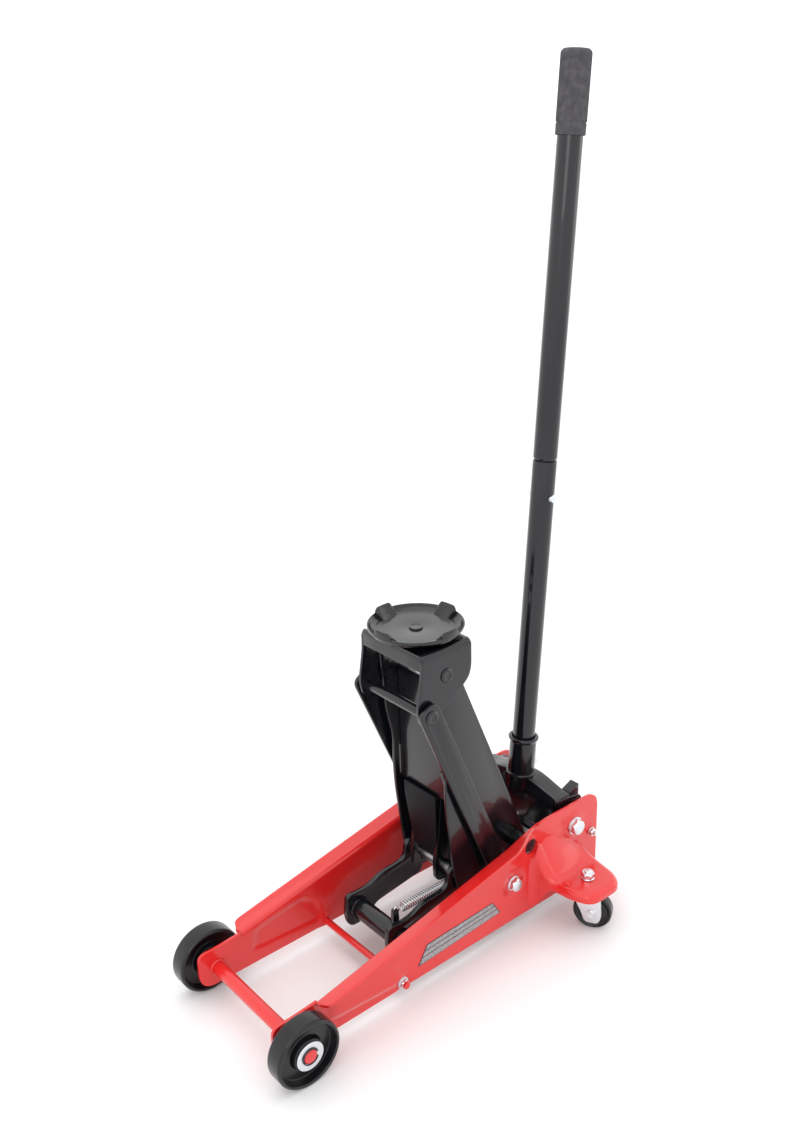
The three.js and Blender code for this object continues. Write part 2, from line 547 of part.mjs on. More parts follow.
const ram = turned([
  [0, RAM_FOOT], [RAM_R, RAM_FOOT], [RAM_R, ramReach - 10], [14, ramReach - 10], [14, ramReach], [0, ramReach],
]);
ram.rotateZ(-Math.PI / 2);
add('ram_rod', ram, zinc, ramGroup);

const plunger = turned([
  [0, PLUNGER.foot], [PLUNGER.r, PLUNGER.foot], [PLUNGER.r, PLUNGER.top - 5], [PLUNGER.cap, PLUNGER.top - 5],
  [PLUNGER.cap, PLUNGER.top], [0, PLUNGER.top],
]);
plunger.rotateX(Math.PI / 2);
plunger.translate(PLUNGER.x, 0, 0);
add('pump_plunger', plunger, zinc);
const pumpSpring = coilSpring(9.5, 1.2, PLUNGER.top - 5 - BLOCK.z1 - 3.4, 6, 8);
pumpSpring.translate(PLUNGER.x, 0, BLOCK.z1 + 1.7);
add('pump_spring', pumpSpring, zinc);
const valve = weld(rodZ(VALVE.x, VALVE.y, VALVE.foot, VALVE.top - 6, VALVE.r),
  rodZ(VALVE.x, VALVE.y, VALVE.top - 16, VALVE.top, 6, 6));
add('release_valve', valve, zinc);

// ---------- handle yoke, rocking on its two bolts ----------
function placeOnHandle(geometry) {
  geometry.rotateY(HANDLE_TILT);
  return geometry.translate(HANDLE_FOOT.x, 0, HANDLE_FOOT.z);
}

const yokeArm = (side) => plateXZ([
  [YOKE_FRONT, 102, 8], [500, 102, 14], [522, 124, 10], [518, YOKE_EAVE - 11, 10], [YOKE_FRONT, YOKE_EAVE, 3],
], side * YOKE_IN, side * YOKE_OUT, [
  [YOKE_PIVOT.x, YOKE_PIVOT.z, PIN_R + GAP], [ROLLER.x, ROLLER.z, ROLLER.pin + GAP],
]);
const yokeFront = plateYZ([
  [-YOKE_OUT, 102, 6], [-30, 110, 10], [30, 110, 10], [YOKE_OUT, 102, 6], [YOKE_OUT, YOKE_EAVE, 2],
  [20, YOKE_TOP, 4], [-20, YOKE_TOP, 4], [-YOKE_OUT, YOKE_EAVE, 2],
], YOKE_FRONT, YOKE_FRONT + 5);
const yokeRoof = plateYZ([
  [-YOKE_OUT, YOKE_EAVE - 5], [-20, YOKE_TOP - 5, 3], [20, YOKE_TOP - 5, 3], [YOKE_OUT, YOKE_EAVE - 5],
  [YOKE_OUT, YOKE_EAVE, 2], [20, YOKE_TOP, 4], [-20, YOKE_TOP, 4], [-YOKE_OUT, YOKE_EAVE, 2],
], YOKE_FRONT + 4, YOKE_FRONT + 28);
const stopBlock = plateXZ([[496, 146], [516, 146], [516, 171, 2], [496, 163, 2]], -YOKE_IN - 1, -YOKE_IN + 14);
const socket = turned([
  [SOCKET.bore, SOCKET.z0 - 12], [SOCKET.r, SOCKET.z0 - 12], [SOCKET.r, SOCKET.z1 - 7], [SOCKET.lip, SOCKET.z1 - 4],
  [SOCKET.lip, SOCKET.z1 - 1], [SOCKET.r + 1, SOCKET.z1], [SOCKET.bore, SOCKET.z1], [SOCKET.bore, SOCKET.z0 - 12],
], 20);
placeOnHandle(socket.rotateX(Math.PI / 2));
const throat = placeOnHandle(rodZ(0, 0, 150, 190, SOCKET.bore, 20));
const yokeShell = cut(weld(yokeArm(LEFT), yokeArm(RIGHT), yokeFront, yokeRoof, stopBlock), throat);
const screwHole = placeOnHandle(rodX(SOCKET.screw, 0, 40, 4 + GAP));
add('handle_yoke', cut(weld(yokeShell, socket), screwHole), blackPaint);
const socketScrew = weld(rodX(SOCKET.screw, TUBE_R + 0.4, 28, 4), rodX(SOCKET.screw, 21.5, 28, 7, 6));
add('socket_screw', placeOnHandle(socketScrew), zinc);
add('roller_pin', rodY(ROLLER, -YOKE_OUT, YOKE_OUT, ROLLER.pin, 16), bareSteel);
add('pump_roller', cut(rodY(ROLLER, -14, 14, ROLLER.r, 24), rodY(ROLLER, -16, 16, ROLLER.pin + GAP)), bareSteel);

// ---------- handle: two tubes, turning in the socket ----------
const handle = new THREE.Group();
handle.name = 'handle';
handle.position.set(HANDLE_FOOT.x, 0, HANDLE_FOOT.z);
handle.rotation.y = HANDLE_TILT;
jack.add(handle);

function tubeZ(profile, segments = 20) {
  const geometry = turned(profile, segments);
  return geometry.rotateX(Math.PI / 2);
}

const inner = TUBE_R - TUBE_WALL;
const spigot = inner - GAP;
const SPIGOT_FOOT = TUBE_JOINT - 78;
const HANDLE_BOLT_Z = 588;
const crossBore = (r) => rodY({ x: 0, z: HANDLE_BOLT_Z }, -30, 30, r, 12);
const lowerTube = tubeZ([
  [inner, SOCKET.z0 + 10], [TUBE_R, SOCKET.z0 + 10], [TUBE_R, TUBE_JOINT], [inner, TUBE_JOINT], [inner, SOCKET.z0 + 10],
]);
add('handle_tube_lower', cut(lowerTube, crossBore(3 + GAP)), blackPaint, handle);
const upperTube = tubeZ([
  [spigot - 2, SPIGOT_FOOT], [spigot, SPIGOT_FOOT], [spigot, TUBE_JOINT + 2], [TUBE_R - 1.5, TUBE_JOINT + 3],
  [TUBE_R, TUBE_JOINT + 8], [TUBE_R, GRIP.z1 - 6], [inner, GRIP.z1 - 6], [inner, TUBE_JOINT + 12],
  [spigot - 2, TUBE_JOINT + 6], [spigot - 2, SPIGOT_FOOT],
]);
add('handle_tube_upper', cut(upperTube, crossBore(3 + GAP)), blackPaint, handle);
const handleBolt = weld(rodY({ x: 0, z: HANDLE_BOLT_Z }, -19, 21, 3, 12),
  hexY({ x: 0, z: HANDLE_BOLT_Z }, -21.5, -TUBE_R - 0.6, 10), hexY({ x: 0, z: HANDLE_BOLT_Z }, TUBE_R + 0.6, 20, 10));
add('handle_bolt', handleBolt, zinc, handle);
const grip = tubeZ([
  [TUBE_R + GAP, GRIP.z0], [GRIP.r - 1, GRIP.z0], [GRIP.r - 1, GRIP.z0 + 13], [GRIP.r, GRIP.z0 + 15],
  [GRIP.r, GRIP.z1 - 3], [GRIP.r - 3, GRIP.z1], [0, GRIP.z1], [0, GRIP.z1 - 5], [TUBE_R + GAP, GRIP.z1 - 5],
  [TUBE_R + GAP, GRIP.z0],
]);
add('handle_grip', grip, gripFoam, handle);

export default jack;
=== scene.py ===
"""The looks of a trolley jack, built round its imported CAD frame.

Lengths are millimetres until a mesh is made. Points are counted from the floor under the front
axle, with -X towards the front wheels, +Z up and side -1 (the label's side) at -Y.
"""
import json
from math import cos, hypot, inf, pi, radians, sin, sqrt

import bmesh
import bpy
from mathutils import Matrix, Vector


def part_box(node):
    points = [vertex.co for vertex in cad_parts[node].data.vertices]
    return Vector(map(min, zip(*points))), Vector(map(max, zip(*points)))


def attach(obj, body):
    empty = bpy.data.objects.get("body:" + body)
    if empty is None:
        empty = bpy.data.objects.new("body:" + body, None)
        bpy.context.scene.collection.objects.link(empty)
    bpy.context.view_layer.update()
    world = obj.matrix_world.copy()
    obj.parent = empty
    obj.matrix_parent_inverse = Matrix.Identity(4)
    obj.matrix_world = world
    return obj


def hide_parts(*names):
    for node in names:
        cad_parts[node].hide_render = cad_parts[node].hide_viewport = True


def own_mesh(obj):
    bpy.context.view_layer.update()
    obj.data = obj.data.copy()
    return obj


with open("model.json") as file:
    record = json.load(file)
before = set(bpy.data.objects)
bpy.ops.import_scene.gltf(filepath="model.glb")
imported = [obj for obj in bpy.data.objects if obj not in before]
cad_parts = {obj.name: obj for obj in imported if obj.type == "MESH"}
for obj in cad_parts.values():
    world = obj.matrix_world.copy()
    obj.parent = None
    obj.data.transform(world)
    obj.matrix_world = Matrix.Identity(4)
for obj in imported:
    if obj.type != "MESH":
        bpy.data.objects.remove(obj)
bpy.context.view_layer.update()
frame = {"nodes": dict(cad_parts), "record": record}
MM = 0.001
LEFT, RIGHT = -1, 1
UP, ACROSS = Vector((0, 0, 1)), Vector((0, 1, 0))
SIDES = ((LEFT, "left"), (RIGHT, "right"))
JOINTS = {joint["name"]: joint for joint in frame["record"]["behaviour"]["joints"]}


def middle_x(node):
    low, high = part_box(node)
    return (low[0] + high[0]) / 2


DATUM = Vector((middle_x("front_axle"), 0, 0))
TO_METRES = Matrix.Translation(DATUM) @ Matrix.Scale(MM, 4)


def span(node):
    """Lowest and highest corner of a CAD node, in mm from the datum."""
    low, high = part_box(node)
    return (Vector(low) - DATUM) / MM, (Vector(high) - DATUM) / MM


def middle(node):
    low, high = span(node)
    return (low + high) / 2


def pivot(joint):
    """A hinge's point, in mm from the datum."""
    return (Vector(JOINTS[joint]["pos_m"]) - DATUM) / MM


# ---------- driving sizes ----------
SHEET = 4.0  # steel sheet of the frame
SIDE_MID = 83.5  # middle of a side plate's thickness, from the jack's middle
FLANGE_OUT = 105.0  # outer edge of the flange, from the jack's middle
FLANGE_START, FLANGE_END = 38.0, 422.0
FLANGE_RISE = 0.14  # how much the flange climbs as it goes out
BEND = 5.0  # radius of the sheet's middle line where it is folded
AXLE = middle("front_axle")
TIE = middle("tie_rod")
REAR_TIE = middle("rear_tie_rod")
ARM_PIVOT = pivot("arm_lift")
STRAP_PIVOT = pivot("strap_swing")
HEAD_PIN = pivot("saddle_level")
LEVER_PIN = pivot("bridle_swing")
STRAP_PIN = HEAD_PIN + STRAP_PIVOT - ARM_PIVOT
TRUNNION = pivot("ram_swing")
YOKE_PIVOT = pivot("handle_pump")
HANDLE_FOOT = pivot("handle_twist")
HANDLE_AXIS = Vector(JOINTS["handle_twist"]["axis"])
SIDE_OUTLINE = [
    (-27, 20, 24), (541, 20, 10), (541, 155, 24), (423, 155, 30), (36, 76.5, 12), (0, 74, 8), (-27, 74, 24),
]


# ---------- materials ----------
class Shader:
    """A Principled material with short calls for the nodes that feed it."""

    def __init__(self, name, **values):
        self.material = bpy.data.materials.new(name)
        self.material.use_nodes = True
        self.tree = self.material.node_tree
        self.principled = self.tree.nodes["Principled BSDF"]
        self.place = self.node("ShaderNodeTexCoord").outputs["Object"]
        for socket, value in values.items():
            self.principled.inputs[socket.replace("_", " ")].default_value = value

    def node(self, kind, **settings):
        made = self.tree.nodes.new(kind)
        for key, value in settings.items():
            made.inputs[key].default_value = value
        return made

    def link(self, source, target):
        self.tree.links.new(source, target)

    def noise(self, scale, detail):
        made = self.node("ShaderNodeTexNoise", Scale=scale, Detail=detail)
        self.link(self.place, made.inputs["Vector"])
        return made.outputs["Fac"]

    def colour(self, scale, detail, *stops):
        """Blends the base colour by noise between two stops, each a place (0 to 1) and a colour."""
        made = self.node("ShaderNodeValToRGB")
        for element, (place, colour) in zip(made.color_ramp.elements, stops):
            element.position = place
            element.color = (*colour, 1)
        self.link(self.noise(scale, detail), made.inputs["Fac"])
        self.link(made.outputs["Color"], self.principled.inputs["Base Color"])

    def roughness(self, scale, detail, low, high):
        made = self.node("ShaderNodeMapRange")
        made.inputs["To Min"].default_value = low
        made.inputs["To Max"].default_value = high
        self.link(self.noise(scale, detail), made.inputs["Value"])
        self.link(made.outputs["Result"], self.principled.inputs["Roughness"])

    def bump(self, scale, detail, height):
        made = self.node("ShaderNodeBump", Strength=1.0, Distance=height * MM)
        self.link(self.noise(scale, detail), made.inputs["Height"])
        before = self.principled.inputs["Normal"].links
        if before:
            self.link(before[0].from_socket, made.inputs["Normal"])
        self.link(made.outputs["Normal"], self.principled.inputs["Normal"])


def enamel(name, light, dark, coat, gloss, rough, peel):
    """Sprayed gloss paint: a faint change of shade and a fine orange peel."""
    made = Shader(name, Coat_Weight=coat, Coat_Roughness=0.05, Specular_IOR_Level=gloss)
    made.colour(9.0, 3.0, (0.35, dark), (0.65, light))
    made.roughness(60.0, 3.0, rough, rough + 0.12)
    made.bump(420.0, 2.0, peel)
    made.bump(70.0, 1.0, 0.03)
    return made.material


def plated(name, light, dark, low, high):
    """Bright plating or drawn steel: fine scratches and patches of a slightly different shade."""
    made = Shader(name, Metallic=1.0)
    made.colour(14.0, 5.0, (0.3, dark), (0.7, light))
    made.roughness(60.0, 4.0, low, high)
    made.bump(900.0, 3.0, 0.006)
    return made.material


def wheel_finish():
    made = Shader("wheel black", Coat_Weight=0.3, Coat_Roughness=0.12, Specular_IOR_Level=0.3)
    made.colour(30.0, 6.0, (0.35, (0.0030, 0.0033, 0.0042)), (0.7, (0.0065, 0.0070, 0.0085)))
    made.roughness(90.0, 5.0, 0.22, 0.4)
    made.bump(500.0, 4.0, 0.06)
    return made.material


def foam_finish():
    """Ribbed grip: matte, with pores and a few scuffs between the modelled ribs."""
    made = Shader("grip foam", Specular_IOR_Level=0.25)
    made.colour(120.0, 8.0, (0.3, (0.055, 0.053, 0.058)), (0.75, (0.105, 0.100, 0.108)))
    made.roughness(50.0, 3.0, 0.75, 0.95)
    made.bump(1400.0, 6.0, 0.15)
    return made.material


def label_finish(name, light, dark):
    """Printed film: a silver ground broken up by fine specks."""
    made = Shader(name, Coat_Weight=0.4, Coat_Roughness=0.12, Metallic=0.35)
    made.colour(700.0, 4.0, (0.42, dark), (0.58, light))
    made.roughness(300.0, 3.0, 0.3, 0.5)
    return made.material


def floor_finish():
    made = Shader("pale floor")
    made.colour(2.0, 3.0, (0.3, (0.83, 0.83, 0.835)), (0.7, (0.86, 0.86, 0.862)))
    made.roughness(6.0, 3.0, 0.55, 0.7)
    return made.material


RED = enamel("red paint", (0.68, 0.014, 0.013), (0.63, 0.011, 0.010), 0.7, 0.4, 0.28, 0.04)
BLACK = enamel("black paint", (0.0050, 0.0056, 0.0080), (0.0036, 0.0040, 0.0058), 0.55, 0.3, 0.18, 0.035)
# A darker copy of the black paint with no coat and little gloss: painted shade for the lever's front plate,
# which sits in deep shade.
SHADED_BLACK = enamel("black paint with painted shade", (0.0046, 0.0050, 0.0070), (0.0034, 0.0038, 0.0054),
                    0.0, 0.12, 0.35, 0.035)
ZINC = plated("zinc plate", (0.78, 0.81, 0.84), (0.70, 0.73, 0.76), 0.22, 0.34)
WIRE = plated("spring steel", (0.80, 0.81, 0.82), (0.55, 0.56, 0.58), 0.14, 0.30)
STEEL = plated("bare steel", (0.46, 0.46, 0.47), (0.30, 0.30, 0.31), 0.25, 0.45)
# Dark steel for the axle clips, also used as painted shade on the pump block and roller pin.
DARK_STEEL_AND_SHADE = plated("dark steel and painted shade", (0.10, 0.10, 0.11), (0.05, 0.05, 0.055), 0.35, 0.55)
WHEEL = wheel_finish()
WELD = plated("weld bead", (0.30, 0.29, 0.29), (0.05, 0.05, 0.055), 0.28, 0.55)
FOAM = foam_finish()
FILM = label_finish("label silver", (0.42, 0.42, 0.43), (0.20, 0.20, 0.21))
FILM_EDGE = label_finish("label dark", (0.06, 0.06, 0.065), (0.03, 0.03, 0.035))


# ---------- mesh tools ----------
def soften(corners, steps=7, closed=True):
    """Points along a polygon whose corners (u, v, trim) are rounded off over the trim distance."""
    points = []
    count = len(corners)
    for i, corner in enumerate(corners):
        here = Vector(corner[:2])
        trim = corner[2] if len(corner) > 2 else 0
        if trim == 0 or (not closed and i in (0, count - 1)):
            points.append(here)
            continue
        before = Vector(corners[i - 1][:2]) - here
        after = Vector(corners[(i + 1) % count][:2]) - here
        trim = min(trim, 0.48 * before.length, 0.48 * after.length)
        start = here + before.normalized() * trim
        end = here + after.normalized() * trim
        for k in range(steps + 1):
            t = k / steps
            points.append(start * (1 - t) ** 2 + here * 2 * t * (1 - t) + end * t * t)
    return points


def turn_angles(count):
    """Evenly spaced angles round one turn."""
    return [2 * pi * k / count for k in range(count)]


def circle(u, v, radius):
    return [Vector((u + radius * cos(a), v + radius * sin(a))) for a in turn_angles(32)]


def new_object(name, data):
    made = bpy.data.objects.new(name, data)
    bpy.context.collection.objects.link(made)
    return made


def mesh_object(name, bm, material, sharp):
    mesh = bpy.data.meshes.new(name)
    bm.to_mesh(mesh)
    bm.free()
    mesh.materials.append(material)
    made = new_object(name, mesh)
    shade(made, sharp)
    return made


def new_piece(name, bm, material, sharp=35):
    """Turns a bmesh in mm from the datum into a smooth-shaded object in metres."""
    bmesh.ops.remove_doubles(bm, verts=bm.verts, dist=0.001)
    bmesh.ops.recalc_face_normals(bm, faces=bm.faces)
    bm.transform(TO_METRES)
    return mesh_object(name, bm, material, sharp)


def shade(piece, sharp=35):
    piece.data.polygons.foreach_set("use_smooth", [True] * len(piece.data.polygons))
    piece.data.set_sharp_from_angle(angle=radians(sharp))


def apply(piece):
    """Bakes the piece's modifiers into its mesh."""
    bpy.context.view_layer.update()
    evaluated = piece.evaluated_get(bpy.context.evaluated_depsgraph_get())
    mesh = bpy.data.meshes.new_from_object(evaluated)
    piece.modifiers.clear()
    piece.data = mesh
    shade(piece)
    return piece


def round_edges(piece, width, angle=40):
    bevel = piece.modifiers.new("round edges", "BEVEL")
    bevel.width = width * MM
    bevel.segments = 3
    bevel.limit_method = "ANGLE"
    bevel.angle_limit = radians(angle)
    return apply(piece)


def join(name, *pieces, sharp=35):
    """One object from several that share a material."""
    bm = bmesh.new()
    for piece in pieces:
        bm.from_mesh(piece.data)
    material = pieces[0].data.materials[0]
    for piece in pieces:
        bpy.data.objects.remove(piece)
    return mesh_object(name, bm, material, sharp)


def fit(piece, body, slot, *nodes):
    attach(piece, body)
    if nodes:
        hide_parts(*nodes)


PLANES = {
    "XZ": Matrix(((1, 0, 0, 0), (0, 0, -1, 0), (0, 1, 0, 0), (0, 0, 0, 1))),
    "XY": Matrix.Identity(4),
    "YZ": Matrix(((0, 0, 1, 0), (1, 0, 0, 0), (0, 1, 0, 0), (0, 0, 0, 1))),
}


def plate(name, corners, near, far, material, plane="XZ", holes=(), edge=0.8, steps=7):
    """A flat plate between two positions along the plane's third axis, with holes (u, v, radius)."""
    bm = bmesh.new()
    loops = [soften(corners, steps)] + [circle(*place) for place in holes]
    edges = []
    for loop in loops:
        verts = [bm.verts.new((p[0], p[1], 0)) for p in loop]
        edges += [bm.edges.new((verts[i - 1], verts[i])) for i in range(len(verts))]
    bmesh.ops.triangle_fill(bm, use_beauty=True, use_dissolve=False, edges=edges)
    bmesh.ops.dissolve_limit(bm, angle_limit=0.01, verts=bm.verts, edges=bm.edges)
    extruded = bmesh.ops.extrude_face_region(bm, geom=list(bm.faces), use_keep_orig=True)
    thick = abs(far - near)
    lifted = [v for v in extruded["geom"] if isinstance(v, bmesh.types.BMVert)]
    bmesh.ops.translate(bm, verts=lifted, vec=(0, 0, thick))
    low = min(near, far)
    shift = -low - thick if plane == "XZ" else low
    bm.transform(PLANES[plane] @ Matrix.Translation((0, 0, shift)))
    return round_edges(new_piece(name, bm, material), min(edge, 0.3 * thick))


def aligned(point, axis):
    """The matrix that takes local +Z to the axis and the local origin to the point."""
    turn = Vector(axis).normalized().to_track_quat("Z", "Y").to_matrix().to_4x4()
    return Matrix.Translation(point) @ turn


def skin(bm, rows, capped):
    """Faces from each ring of points to the next, and over the two end rings if capped."""
    for a, b in zip(rows, rows[1:]):
        for k in range(len(a)):
            n = (k + 1) % len(a)
            bm.faces.new((a[k], b[k], b[n], a[n]))
    if capped:
        bm.faces.new(rows[0])
        bm.faces.new(rows[-1])


def lathe(name, profile, point, axis, material, count=64, edge=0.5, wave=None, sharp=35):
    """Turns (radius, height) points round an axis. A profile that ends off the axis is closed to a ring.

    wave, if given, takes the angle and height and returns how far the surface stands out there.
    """
    ring = profile[0][0] > 0 or profile[-1][0] > 0
    corners = [(r, h, edge if r > 0 else 0) for r, h in profile]
    line = soften(corners, 3, closed=ring)
    bm = bmesh.new()
    rows = []
    for r, h in line:
        if r < 1e-6:
            rows.append([bm.verts.new((0, 0, h))])
            continue
        row = []
        for a in turn_angles(count):
            out = r + (wave(a, h) if wave else 0)
            row.append(bm.verts.new((out * cos(a), out * sin(a), h)))
        rows.append(row)
    pairs = list(zip(rows, rows[1:])) + ([(rows[-1], rows[0])] if ring else [])
    for a, b in pairs:
        for k in range(count):
            n = (k + 1) % count
            if len(a) == 1:
                bm.faces.new((a[0], b[k], b[n]))
            elif len(b) == 1:
                bm.faces.new((a[k], b[0], a[n]))
            else:
                bm.faces.new((a[k], b[k], b[n], a[n]))
    bm.transform(aligned(point, axis))
    return new_piece(name, bm, material, sharp)


def rod(name, start, end, radius, material, edge=0.8):
    start, end = Vector(start), Vector(end)
    length = (end - start).length
    profile = [(0, 0), (radius, 0), (radius, length), (0, length)]
    return lathe(name, profile, start, end - start, material, 48, edge)


def both_ends(end, low, high):
    """A whole profile from one of its two like ends, given as (radius, depth in from the end)."""
    return [(r, low + depth) for r, depth in end] + [(r, high - depth) for r, depth in end[::-1]]


def hole(at, radius):
    """A hole through a plate, on a cross pin's axis."""
    return at.x, at.z, radius


def beside(at, y):
    """The place that lies y to the side, in line with a cross pin."""
    return at.x, y, at.z


def bar(name, at, y0, y1, radius, material, edge=0.8):
    """A rod that runs across the jack, on a cross pin's axis."""
    return rod(name, beside(at, y0), beside(at, y1), radius, material, edge)


def hexagon(name, point, axis, flats, height, material, bore=0.0, dome=0.0, turn=0.0):
    """A hexagon head or nut with its corners chamfered, standing on the point along the axis."""
    count = 72
    corner = flats / sqrt(3)

    def reach(angle):
        wedge = (angle + turn + pi / 6) % (pi / 3) - pi / 6
        return corner * cos(pi / 6) / cos(wedge)

    drop = 0.16 * flats
    heights = [(0, corner - 0.6), (0.5, corner), (height - drop, corner)]
    heights += [(height - drop * (1 - k / 4), corner - (corner - 0.47 * flats) * k / 4) for k in range(1, 5)]
    bm = bmesh.new()
    angles = turn_angles(count)

    def ring(radii, level):
        return [bm.verts.new((r * cos(a), r * sin(a), level)) for r, a in zip(radii, angles)]

    rows = [ring([min(reach(a), limit) for a in angles], h) for h, limit in heights]
    for h, r in ((height + dome * 0.6, 0.36 * flats), (height + dome, bore or 0.30 * flats)):
        rows.append(ring([r] * count, h))
    if bore:
        rows += [ring([bore] * count, 0), rows[0]]
    skin(bm, rows, capped=not bore)
    bm.transform(aligned(point, axis))
    return new_piece(name, bm, material, 28)


def washer(name, point, axis, inner, outer, thick):
    profile = [(inner, 0), (outer, 0), (outer, thick), (inner, thick)]
    return lathe(name, profile, point, axis, ZINC, 48, 0.35)


def wire(name, points, radius, material, sides=10, ripple=0.0):
    """A round wire or weld bead along points; ripple makes its radius swell and shrink."""
    points = [Vector(p) for p in points]
    bm = bmesh.new()
    rows = []
    normal = None
    for i, here in enumerate(points):
        ahead = points[min(i + 1, len(points) - 1)]
        behind = points[max(i - 1, 0)]
        tangent = (ahead - behind).normalized()
        if normal is None:
            normal = tangent.orthogonal().normalized()
        normal = (normal - tangent * normal.dot(tangent)).normalized()
        other = tangent.cross(normal)
        size = radius * (1 + ripple * sin(i * 1.9) + 0.4 * ripple * sin(i * 0.7 + 1))
        rows.append([bm.verts.new(here + (normal * cos(a) + other * sin(a)) * size)
                     for a in turn_angles(sides)])
    skin(bm, rows, capped=True)
    return new_piece(name, bm, material, 60)


def bead(name, start, end, radius=1.6):
    """A straight weld bead with its ripples."""
    start, end = Vector(start), Vector(end)
    count = int((end - start).length / (0.45 * radius))
    points = [start.lerp(end, k / count) for k in range(count + 1)]
    return wire(name, points, radius, WELD, ripple=0.16)


def ring_bead(name, point, axis, around, radius, material):
    """A weld bead round a tube or shaft."""
    matrix = aligned(point, axis)
    points = [matrix @ Vector((around * cos(a), around * sin(a), 0))
              for a in turn_angles(72) + [2 * pi]]
    return wire(name, points, radius, material, 8, 0.14)


def sheet(name, rows, thick, material, edge, even=True):
    """A folded sheet: rows of points on its middle surface, thickened and with its edges rounded."""
    bm = bmesh.new()
    made = [[bm.verts.new(p) for p in row] for row in rows]
    for a, b in zip(made, made[1:]):
        for k in range(len(a) - 1):
            if (a[k].co - a[k + 1].co).length + (b[k].co - b[k + 1].co).length > 0.002:
                bm.faces.new((a[k], a[k + 1], b[k + 1], b[k]))
    piece = new_piece(name, bm, material)
    solid = piece.modifiers.new("thickness", "SOLIDIFY")
    solid.thickness = thick * MM
    solid.offset = 0
    solid.use_even_offset = even
    return round_edges(apply(piece), edge, 50)


def cut(piece, cutter):
    boolean = piece.modifiers.new("hole", "BOOLEAN")
    boolean.operation = "DIFFERENCE"
    boolean.object = cutter
    boolean.solver = "EXACT"
    apply(piece)
    bpy.data.objects.remove(cutter)
    return piece


# ---------- frame ----------
def crossing(outline, u, axis=0):
    """Lowest and highest place where the outline crosses a line at u."""
    found = []
    for a, b in zip(outline, outline[1:] + outline[:1]):
        if (a[axis] - u) * (b[axis] - u) <= 0 and a[axis] != b[axis]:
            t = (u - a[axis]) / (b[axis] - a[axis])
            found.append(a[1 - axis] + t * (b[1 - axis] - a[1 - axis]))
    return min(found), max(found)


def smoothstep(t):
    t = min(max(t, 0), 1)
    return t * t * (3 - 2 * t)


PANEL = [(50, 38), (58, 72), (140, 85), (163, 68), (176, 36), (160, 28), (66, 34)]
# the middle, radius and outward height of each seat pressed for a bolt
BOLT_SEATS = ((TIE, 13, -1.6), (STRAP_PIVOT, 21, -2.2), (YOKE_PIVOT, 20, 1.6), (REAR_TIE, 10, 0.8))


def inside_depth(polygon, u, v):
    """How far a point is inside a polygon that runs clockwise, or a negative number outside."""
    depth = inf
    for a, b in zip(polygon, polygon[1:] + polygon[:1]):
        along = (Vector(b) - Vector(a)).normalized()
        depth = min(depth, along.y * (u - a[0]) - along.x * (v - a[1]))
    return depth


def pressed(x, z):
    """How far a side plate is pushed outwards at a place, by its pressed panel and its bolt seats."""
    out = 3.0 * smoothstep(inside_depth(PANEL, x, z) / 9)
    for at, radius, height in BOLT_SEATS:
        distance = hypot(x - at.x, z - at.z)
        out += height * smoothstep((radius - distance) / 5)
    return out


FLANGE_CORNER = 12.0  # radius of the flange's front corner
FLANGE_RUN_OUT = 68.0  # length over which the flange narrows at its back end
PIVOT_HOLE_R = 11.5  # hole beside the end of the arm's shaft
PLATE_CORNER = 24.0  # length at each end where the plate's columns crowd towards its rounded corners
COLUMN_STEP = 4.5


def side_plate(side, tag):
    outline = [(p.x, p.y) for p in soften(SIDE_OUTLINE, 9)]
    front, rear = outline[0][0], max(p[0] for p in outline)
    marks = {front + 0.02, rear - 0.02, FLANGE_START, FLANGE_START - 2, FLANGE_END, FLANGE_END + 2}
    for k in range(1, 13):
        crowded = PLATE_CORNER * (k / 12) ** 2
        marks |= {front + crowded, rear - crowded}
    steps = int((rear - front - 2 * PLATE_CORNER) / COLUMN_STEP)
    marks |= {front + PLATE_CORNER + COLUMN_STEP * k for k in range(1, steps)}
    columns = []
    levels = 30
    for x in sorted(marks):
        low, high = crossing(outline, x)
        flanged = FLANGE_START <= x <= FLANGE_END
        fade = smoothstep((FLANGE_END - x) / FLANGE_RUN_OUT)
        bend = BEND * fade
        top = high - (BEND + SHEET / 2) * fade if flanged else high
        column = []
        for k in range(levels + 1):
            z = low + (top - low) * k / levels
            column.append((x, side * (SIDE_MID + pressed(x, z)), z))
        inset = x - FLANGE_START
        reach = FLANGE_OUT - SIDE_MID - BEND
        if inset < FLANGE_CORNER:
            gap = FLANGE_CORNER - inset
            reach += sqrt(max(FLANGE_CORNER ** 2 - gap ** 2, 0)) - FLANGE_CORNER
        reach *= fade
        for k in range(1, 13):
            if not flanged:
                column.append(column[-1])
                continue
            if k <= 6:
                a = pi / 2 * k / 6
                out, up = bend * (1 - cos(a)), bend * sin(a)
            else:
                out, up = bend + reach * (k - 6) / 6, bend
            rise = FLANGE_RISE * out * smoothstep(out / 12)
            column.append((x, side * (SIDE_MID + out), top + up + rise))
        columns.append(column)
    piece = sheet(f"side_plate_{tag}", columns, SHEET, RED, 0.9, even=False)
    centre = ARM_PIVOT + Vector((1, 0, 0))
    cutter = bar("cutter", centre, side * 60, side * 120, PIVOT_HOLE_R, RED)
    fit(cut(piece, cutter), "frame", "red_paint", f"frame_side_{tag}")


def even_steps(line, count):
    """Points at equal distances along a line of points."""
    lengths = [0.0]
    for a, b in zip(line, line[1:]):
        lengths.append(lengths[-1] + (b - a).length)
    points = []
    for i in range(count + 1):
        want = lengths[-1] * i / count
        k = max(j for j in range(len(line) - 1) if lengths[j] <= want)
        t = (want - lengths[k]) / (lengths[k + 1] - lengths[k])
        points.append(line[k].lerp(line[k + 1], min(t, 1)))
    return points


